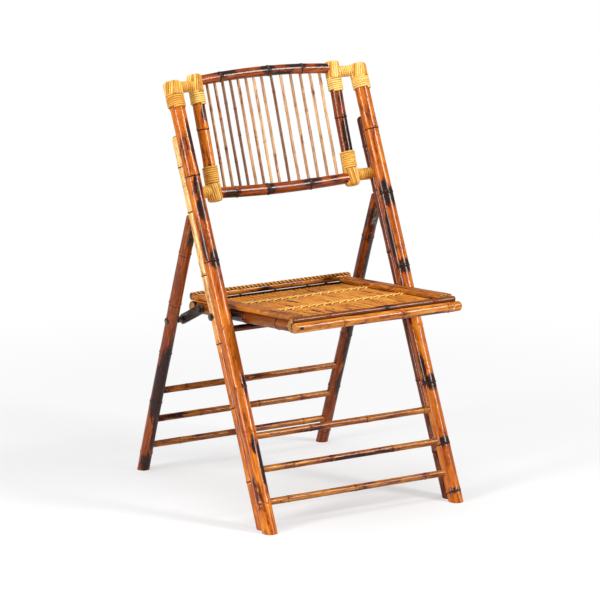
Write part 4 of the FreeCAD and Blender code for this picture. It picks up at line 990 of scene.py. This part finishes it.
def board_outline():
    """Outline of a board of three laths side by side, with rounded edges and grooves between them."""
    top = []
    for x in np.linspace(-1, 1, 37):
        groove = max(math.exp(-((x - edge) / LATH_GROOVE_WIDTH) ** 2) for edge in LATH_EDGES)
        shoulder = 1 - SHOULDER_DROP * max(0.0, (abs(x) - SHOULDER) / SHOULDER_WIDTH) ** 2
        top.append((x, shoulder - LATH_GROOVE_DEPTH * groove + CROWN_HEIGHT * math.cos(x * CROWN_WAVES)))
    return (BOARD_BASE + top)[::-1]


def make_board(word, side):
    node = "seat_border_board_" + word
    place = SeatFrame(corners_of(node))
    outline = board_outline()
    middle, half_width = halves(place.side)
    base, height = place.up.min(), place.up.max() - place.up.min()
    start, length = place.back.min(), place.back.max() - place.back.min()
    inner = np.linspace(3 * MM, length - 3 * MM, 60)
    rows = []
    for along in (0, 0.5 * MM, *inner, length - 0.5 * MM, length):
        ease = 1 - 0.06 * math.exp(-min(along, length - along) / (0.6 * MM))
        rows.append([
            (x * half_width * ease + middle, base + z * height * ease, start + along) for x, z in outline
        ])
    points, faces = tube(np.array(rows))
    look = Look(110 + side, [(0.12, 0.6), (0.30, 0.6)], (), char=0.3, toast=0.15)
    look.sprinkle(length, 5)
    local = points - np.array((middle, base, start))
    marks = culm_marks(local, look, axis_of(node, SEAT_BACK))
    dress(node + "_laths", node, look, SEAT, SeatFrame.world(points), faces, local, marks)


# Outline of a slat, in halves of its width and in its height, and its extra rows in millimetres
SLAT_CROWN = 0.28
SLAT_BASE = [(1, 0.1), (0.8, 0), (-0.8, 0), (-1, 0.1)]
SLAT_TIP_INSETS = (3.8, 2.8, 1.8, 1.0, 0.4, 0.0)
SLAT_RING_OFFSETS = (-4, -2, -1, 0, 1, 2, 4)


def make_slats():
    """Crowned strips with rounded rear tips."""
    meshes = []
    for index, points in enumerate(slat_points()):
        place = SeatFrame(points)
        dice = random.Random(500 + index)
        middle, half_width = halves(place.side)
        base = place.up.min()
        height = place.up.max() - base + dice.uniform(-0.3, 0.25) * MM
        start, length = place.back.min(), place.back.max() - place.back.min()
        length += dice.uniform(-1.5, 0.8) * MM
        top = [(x, 1 - SLAT_CROWN * x * x) for x in np.linspace(-1, 1, 9)]
        outline = (SLAT_BASE + top)[::-1]
        rings = [(dice.uniform(0.03, 0.16), 0.6), (dice.uniform(0.2, 0.37), 0.6)]
        along_places = set(np.linspace(0, length - 5 * MM, 40))
        along_places |= {length - inset * MM for inset in SLAT_TIP_INSETS}
        for ring, _ in rings:
            along_places |= {ring + offset * MM for offset in SLAT_RING_OFFSETS}
        rows = []
        for along in sorted(along_places):
            left = max(0.0, 1 - (length - along) / (4 * MM))
            narrow = math.sqrt(max(0.0, 1 - left ** 2)) * 0.75 + 0.25
            swell = float(node_relief(np.array([along]), rings)[0]) * 0.5
            lower = 0.75 + 0.25 * narrow
            rows.append([
                (x * half_width * narrow + middle, base + z * (height + swell) * lower, start + along)
                for x, z in outline
            ])
        points, faces = tube(np.array(rows))
        look = Look(600 + index, rings, (), char=0.45)
        look.sprinkle(length, 2)
        local = points - np.array((middle, base, start))
        marks = culm_marks(local, look, axis_of("seat_border_board_left", SEAT_BACK))
        marks[:, 2] = 0
        meshes.append((SeatFrame.world(points), faces, local + look.offset, marks))
    points, faces, places, marks = merge(meshes)
    piece("slats", points, faces, SLAT, "seat", ("seat_slats",), culm=places, marks=marks)


LANES = 4
LANE_FILL = 0.86
WEAVE_LIFT = 0.5 * MM
WEAVE_HEIGHT = 2.2 * MM
WEAVE_SWAY = 0.8 * MM


def make_cane_rows():
    """Strands woven over and under the slats, some lanes of them in each of the two rows."""
    slats = SeatFrame(corners_of("seat_slats"))
    centres = [halves(group[:, 0])[0] for group in slat_points()]
    pitch = (centres[-1] - centres[0]) / (len(centres) - 1)
    top, thickness = slats.up.max(), slats.up.max() - slats.up.min()
    rows = corners_of("seat_cane_rows")
    backs = rows @ SEAT_BACK
    halfway, _ = halves(backs)
    meshes = []
    for number, group in enumerate((rows[backs < halfway], rows[backs > halfway])):
        middle, half_width = halves(group @ SEAT_BACK)
        width = 2 * half_width
        for lane in range(LANES):
            offset = (lane - (LANES - 1) / 2) * width / LANES
            reach = np.linspace(centres[0] - pitch * 0.6, centres[-1] + pitch * 0.6, len(centres) * 10)
            phase = (reach - centres[0]) / pitch * math.pi
            wave = np.tanh(2.0 * np.cos(phase + lane * math.pi))
            height = top - thickness / 2 + (thickness / 2 + WEAVE_LIFT) * wave / math.tanh(2.0)
            sway = WEAVE_SWAY * np.sin(phase + lane)
            local = np.stack((reach, height, middle + offset + sway), axis=1)
            meshes.append(strand(
                SeatFrame.world(local), np.broadcast_to(SEAT_UP, local.shape), width / LANES * LANE_FILL,
                WEAVE_HEIGHT, 0.1 + 0.1 * lane, 700 + lane + 10 * number,
            ))
    strand_piece("woven_rows", meshes, WEAVE, "seat", ("seat_cane_rows",))


BRAID_PITCH = 20 * MM
BRAID_INSET = 6 * MM
BRAID_ANGLE = math.radians(126)
BRAID_HALF_WIDTH, BRAID_HALF_HEIGHT = 2.2 * MM, 1.9 * MM
BRAID_STRAND = 4.6 * MM


def make_braid():
    """Two strands twisted along the top of the rear bar."""
    bar = axis_of("seat_rear_bar", ACROSS)
    meshes = []
    for phase in (0.0, math.pi):
        reach = np.linspace(BRAID_INSET, bar.length - BRAID_INSET, 420)
        angle = reach / BRAID_PITCH * 2 * math.pi + phase
        side = bar.radius * math.cos(BRAID_ANGLE) + BRAID_HALF_WIDTH * np.cos(angle)
        out = bar.radius * math.sin(BRAID_ANGLE) + BRAID_HALF_HEIGHT * np.sin(angle)
        local = np.stack((side, out, reach), axis=1)
        outward = np.cos(angle)[:, None] * bar.across + np.sin(angle)[:, None] * bar.normal
        meshes.append(strand(
            bar.world(local), outward, BRAID_STRAND, WEAVE_HEIGHT, 0.5, 800 + phase, shade=0.2,
        ))
    strand_piece("rear_bar_braid", meshes, WEAVE, "seat")


BATTEN_DROP, BATTEN_HEIGHT = 3.4 * MM, 4.8 * MM
BATTEN_SHADE = 0.9


def make_gap_shade_batten():
    """A batten below the gap between the slats' rear ends and the rear bar, scorched dark all over as painted
    shade for that gap.
    """
    slats = SeatFrame(corners_of("seat_slats"))
    rail = SeatFrame(corners_of("seat_rear_rail"))
    outline = np.array(((-1, 0.0), (-1, 0.8), (-0.8, 1.0), (0.8, 1.0), (1, 0.8), (1, 0.0)))
    start = slats.back.max() - 1.5 * MM
    width = rail.back.min() + 1.6 * MM - start
    rows = []
    for share in np.linspace(0, 1, 60):
        side = slats.side.min() + share * (slats.side.max() - slats.side.min())
        wear = 0.15 * MM * math.sin(41 * share) + 0.1 * MM * math.sin(97 * share)
        base = slats.up.min() - BATTEN_DROP
        rows.append([
            (side, base + z * BATTEN_HEIGHT + wear, start + (x + 1) / 2 * width) for x, z in outline
        ])
    points, faces = tube(np.array(rows))
    marks = np.zeros((len(points), 3))
    # The batten is darkened all over: painted shade in the gap behind the slats.
    marks[:, 1] = BATTEN_SHADE
    piece("rear_gap_shade_batten", SeatFrame.world(points), faces, SHADE_BATTEN, "seat", culm=points, marks=marks)


BAND_START, BAND_TURNS = 3 * MM, 3
BAND_WIDTH, BAND_HEIGHT = 4.4 * MM, 1.8 * MM
BAND_SHADE = 0.6


def make_rail_band(word, side):
    """A cane band round the front end of a side rail."""
    node = "seat_side_rail_" + word
    rail = axis_of(node, SEAT_BACK, has_flat=True)
    points, faces, places, marks = winding(
        rail, rail.radius - 0.2 * MM, BAND_START, BAND_TURNS, BAND_WIDTH, BAND_HEIGHT, 820 + side, BAND_SHADE,
    )
    flat = rail.local(corners_of(node))[:, 1].min()
    local = rail.local(points)
    local[:, 1] = np.maximum(local[:, 1], flat - 0.05 * MM)
    piece("rail_bands_" + word, rail.world(local), faces, WEAVE, "seat", culm=places, marks=marks)


for word, side in SIDES.items():
    make_board(word, side)
make_slats()
make_cane_rows()
make_braid()
make_gap_shade_batten()
for word, side in SIDES.items():
    make_rail_band(word, side)

# Hardware keeps its shape from the frame
WORN_EDGE = 0.25 * MM
for node, thing in frame["nodes"].items():
    if not thing.hide_render:
        thing.data.materials.clear()
        thing.data.materials.append(STEEL)
        bevel = thing.modifiers.new("worn_edges", "BEVEL")
        bevel.width = WORN_EDGE
        bevel.segments = 2
        bevel.limit_method = "ANGLE"

# Floor, light and camera
FLOOR_HALF = 14.0
FLOOR_COLOUR = (0.82, 0.825, 0.83, 1)

# The floor's own light in the camera's view grows over these distances from the chair
GLOW_START, GLOW_END = 0.6, 1.8
GLOW_LEAST, GLOW_MOST = 0.5, 1.0


def make_floor():
    finish = Finish("floor", Roughness=0.9, Specular_IOR_Level=0.1, Base_Color=FLOOR_COLOUR)
    seen = finish.add("ShaderNodeLightPath").outputs["Is Camera Ray"]
    glow = finish.add("ShaderNodeEmission")
    finish.join(seen, glow.inputs["Strength"])
    place = finish.add("ShaderNodeTexCoord").outputs["Object"]
    distance = finish.add("ShaderNodeVectorMath", operation="LENGTH")
    finish.join(place, distance.inputs[0])
    far = finish.between(distance.outputs["Value"], GLOW_START, GLOW_END, GLOW_LEAST, GLOW_MOST)
    total = finish.add("ShaderNodeMixShader")
    finish.join(finish.math("MULTIPLY", far, seen), total.inputs["Fac"])
    finish.join(finish.shader.outputs["BSDF"], total.inputs[1])
    finish.join(glow.outputs["Emission"], total.inputs[2])
    finish.join(total.outputs["Shader"], finish.output.inputs["Surface"])
    mesh = bpy.data.meshes.new("floor")
    signs = ((-1, -1), (1, -1), (1, 1), (-1, 1))
    corners = [(x * FLOOR_HALF, y * FLOOR_HALF, 0) for x, y in signs]
    mesh.from_pydata(corners, [], [(0, 1, 2, 3)])
    mesh.materials.append(finish.material)
    floor = bpy.data.objects.new("floor", mesh)
    bpy.context.scene.collection.objects.link(floor)


AMBIENT = 0.27


def make_world():
    world = bpy.data.worlds.new("studio")
    bpy.context.scene.world = world
    world.use_nodes = True
    tree = world.node_tree
    background = tree.nodes["Background"]
    background.inputs["Color"].default_value = (1.0, 1.0, 1.0, 1)
    light_path = tree.nodes.new("ShaderNodeLightPath")
    level = tree.nodes.new("ShaderNodeMapRange")
    tree.links.new(light_path.outputs["Is Camera Ray"], level.inputs["Value"])
    level.inputs["To Min"].default_value = AMBIENT
    level.inputs["To Max"].default_value = 1.0
    tree.links.new(level.outputs["Result"], background.inputs["Strength"])


def make_lamp(name, place, target, size, power):
    light = bpy.data.lights.new(name, "AREA")
    light.shape = "RECTANGLE"
    light.size, light.size_y = size
    light.energy = power
    lamp = bpy.data.objects.new(name, light)
    lamp.location = place
    lamp.rotation_euler = (Vector(target) - Vector(place)).to_track_quat("-Z", "Y").to_euler()
    bpy.context.scene.collection.objects.link(lamp)


CAMERA_PLACE = Vector((-3.7656, -6.3916, 2.1593))
CAMERA_TARGET = Vector((-0.07036, -0.11086, 0.45147))
CAMERA_LENS = 211.52


def make_camera():
    camera_data = bpy.data.cameras.new("camera")
    camera_data.sensor_fit = "HORIZONTAL"
    camera_data.sensor_width = 36.0
    camera_data.lens = CAMERA_LENS
    camera = bpy.data.objects.new("camera", camera_data)
    camera.location = CAMERA_PLACE
    camera.rotation_euler = (CAMERA_TARGET - CAMERA_PLACE).to_track_quat("-Z", "Y").to_euler()
    bpy.context.scene.collection.objects.link(camera)
    bpy.context.scene.camera = camera


make_floor()
make_world()
make_lamp("key", (2.3, -3.2, 2.9), (0, 0, 0.45), (0.9, 1.6), 150)
make_lamp("left", (-3.6, -0.6, 1.8), (0, 0, 0.5), (0.6, 2.0), 100)
make_lamp("top", (-0.4, -0.4, 3.6), (0, 0, 0.4), (2.4, 2.4), 60)
make_camera()
bpy.context.scene.view_settings.view_transform = "Standard"
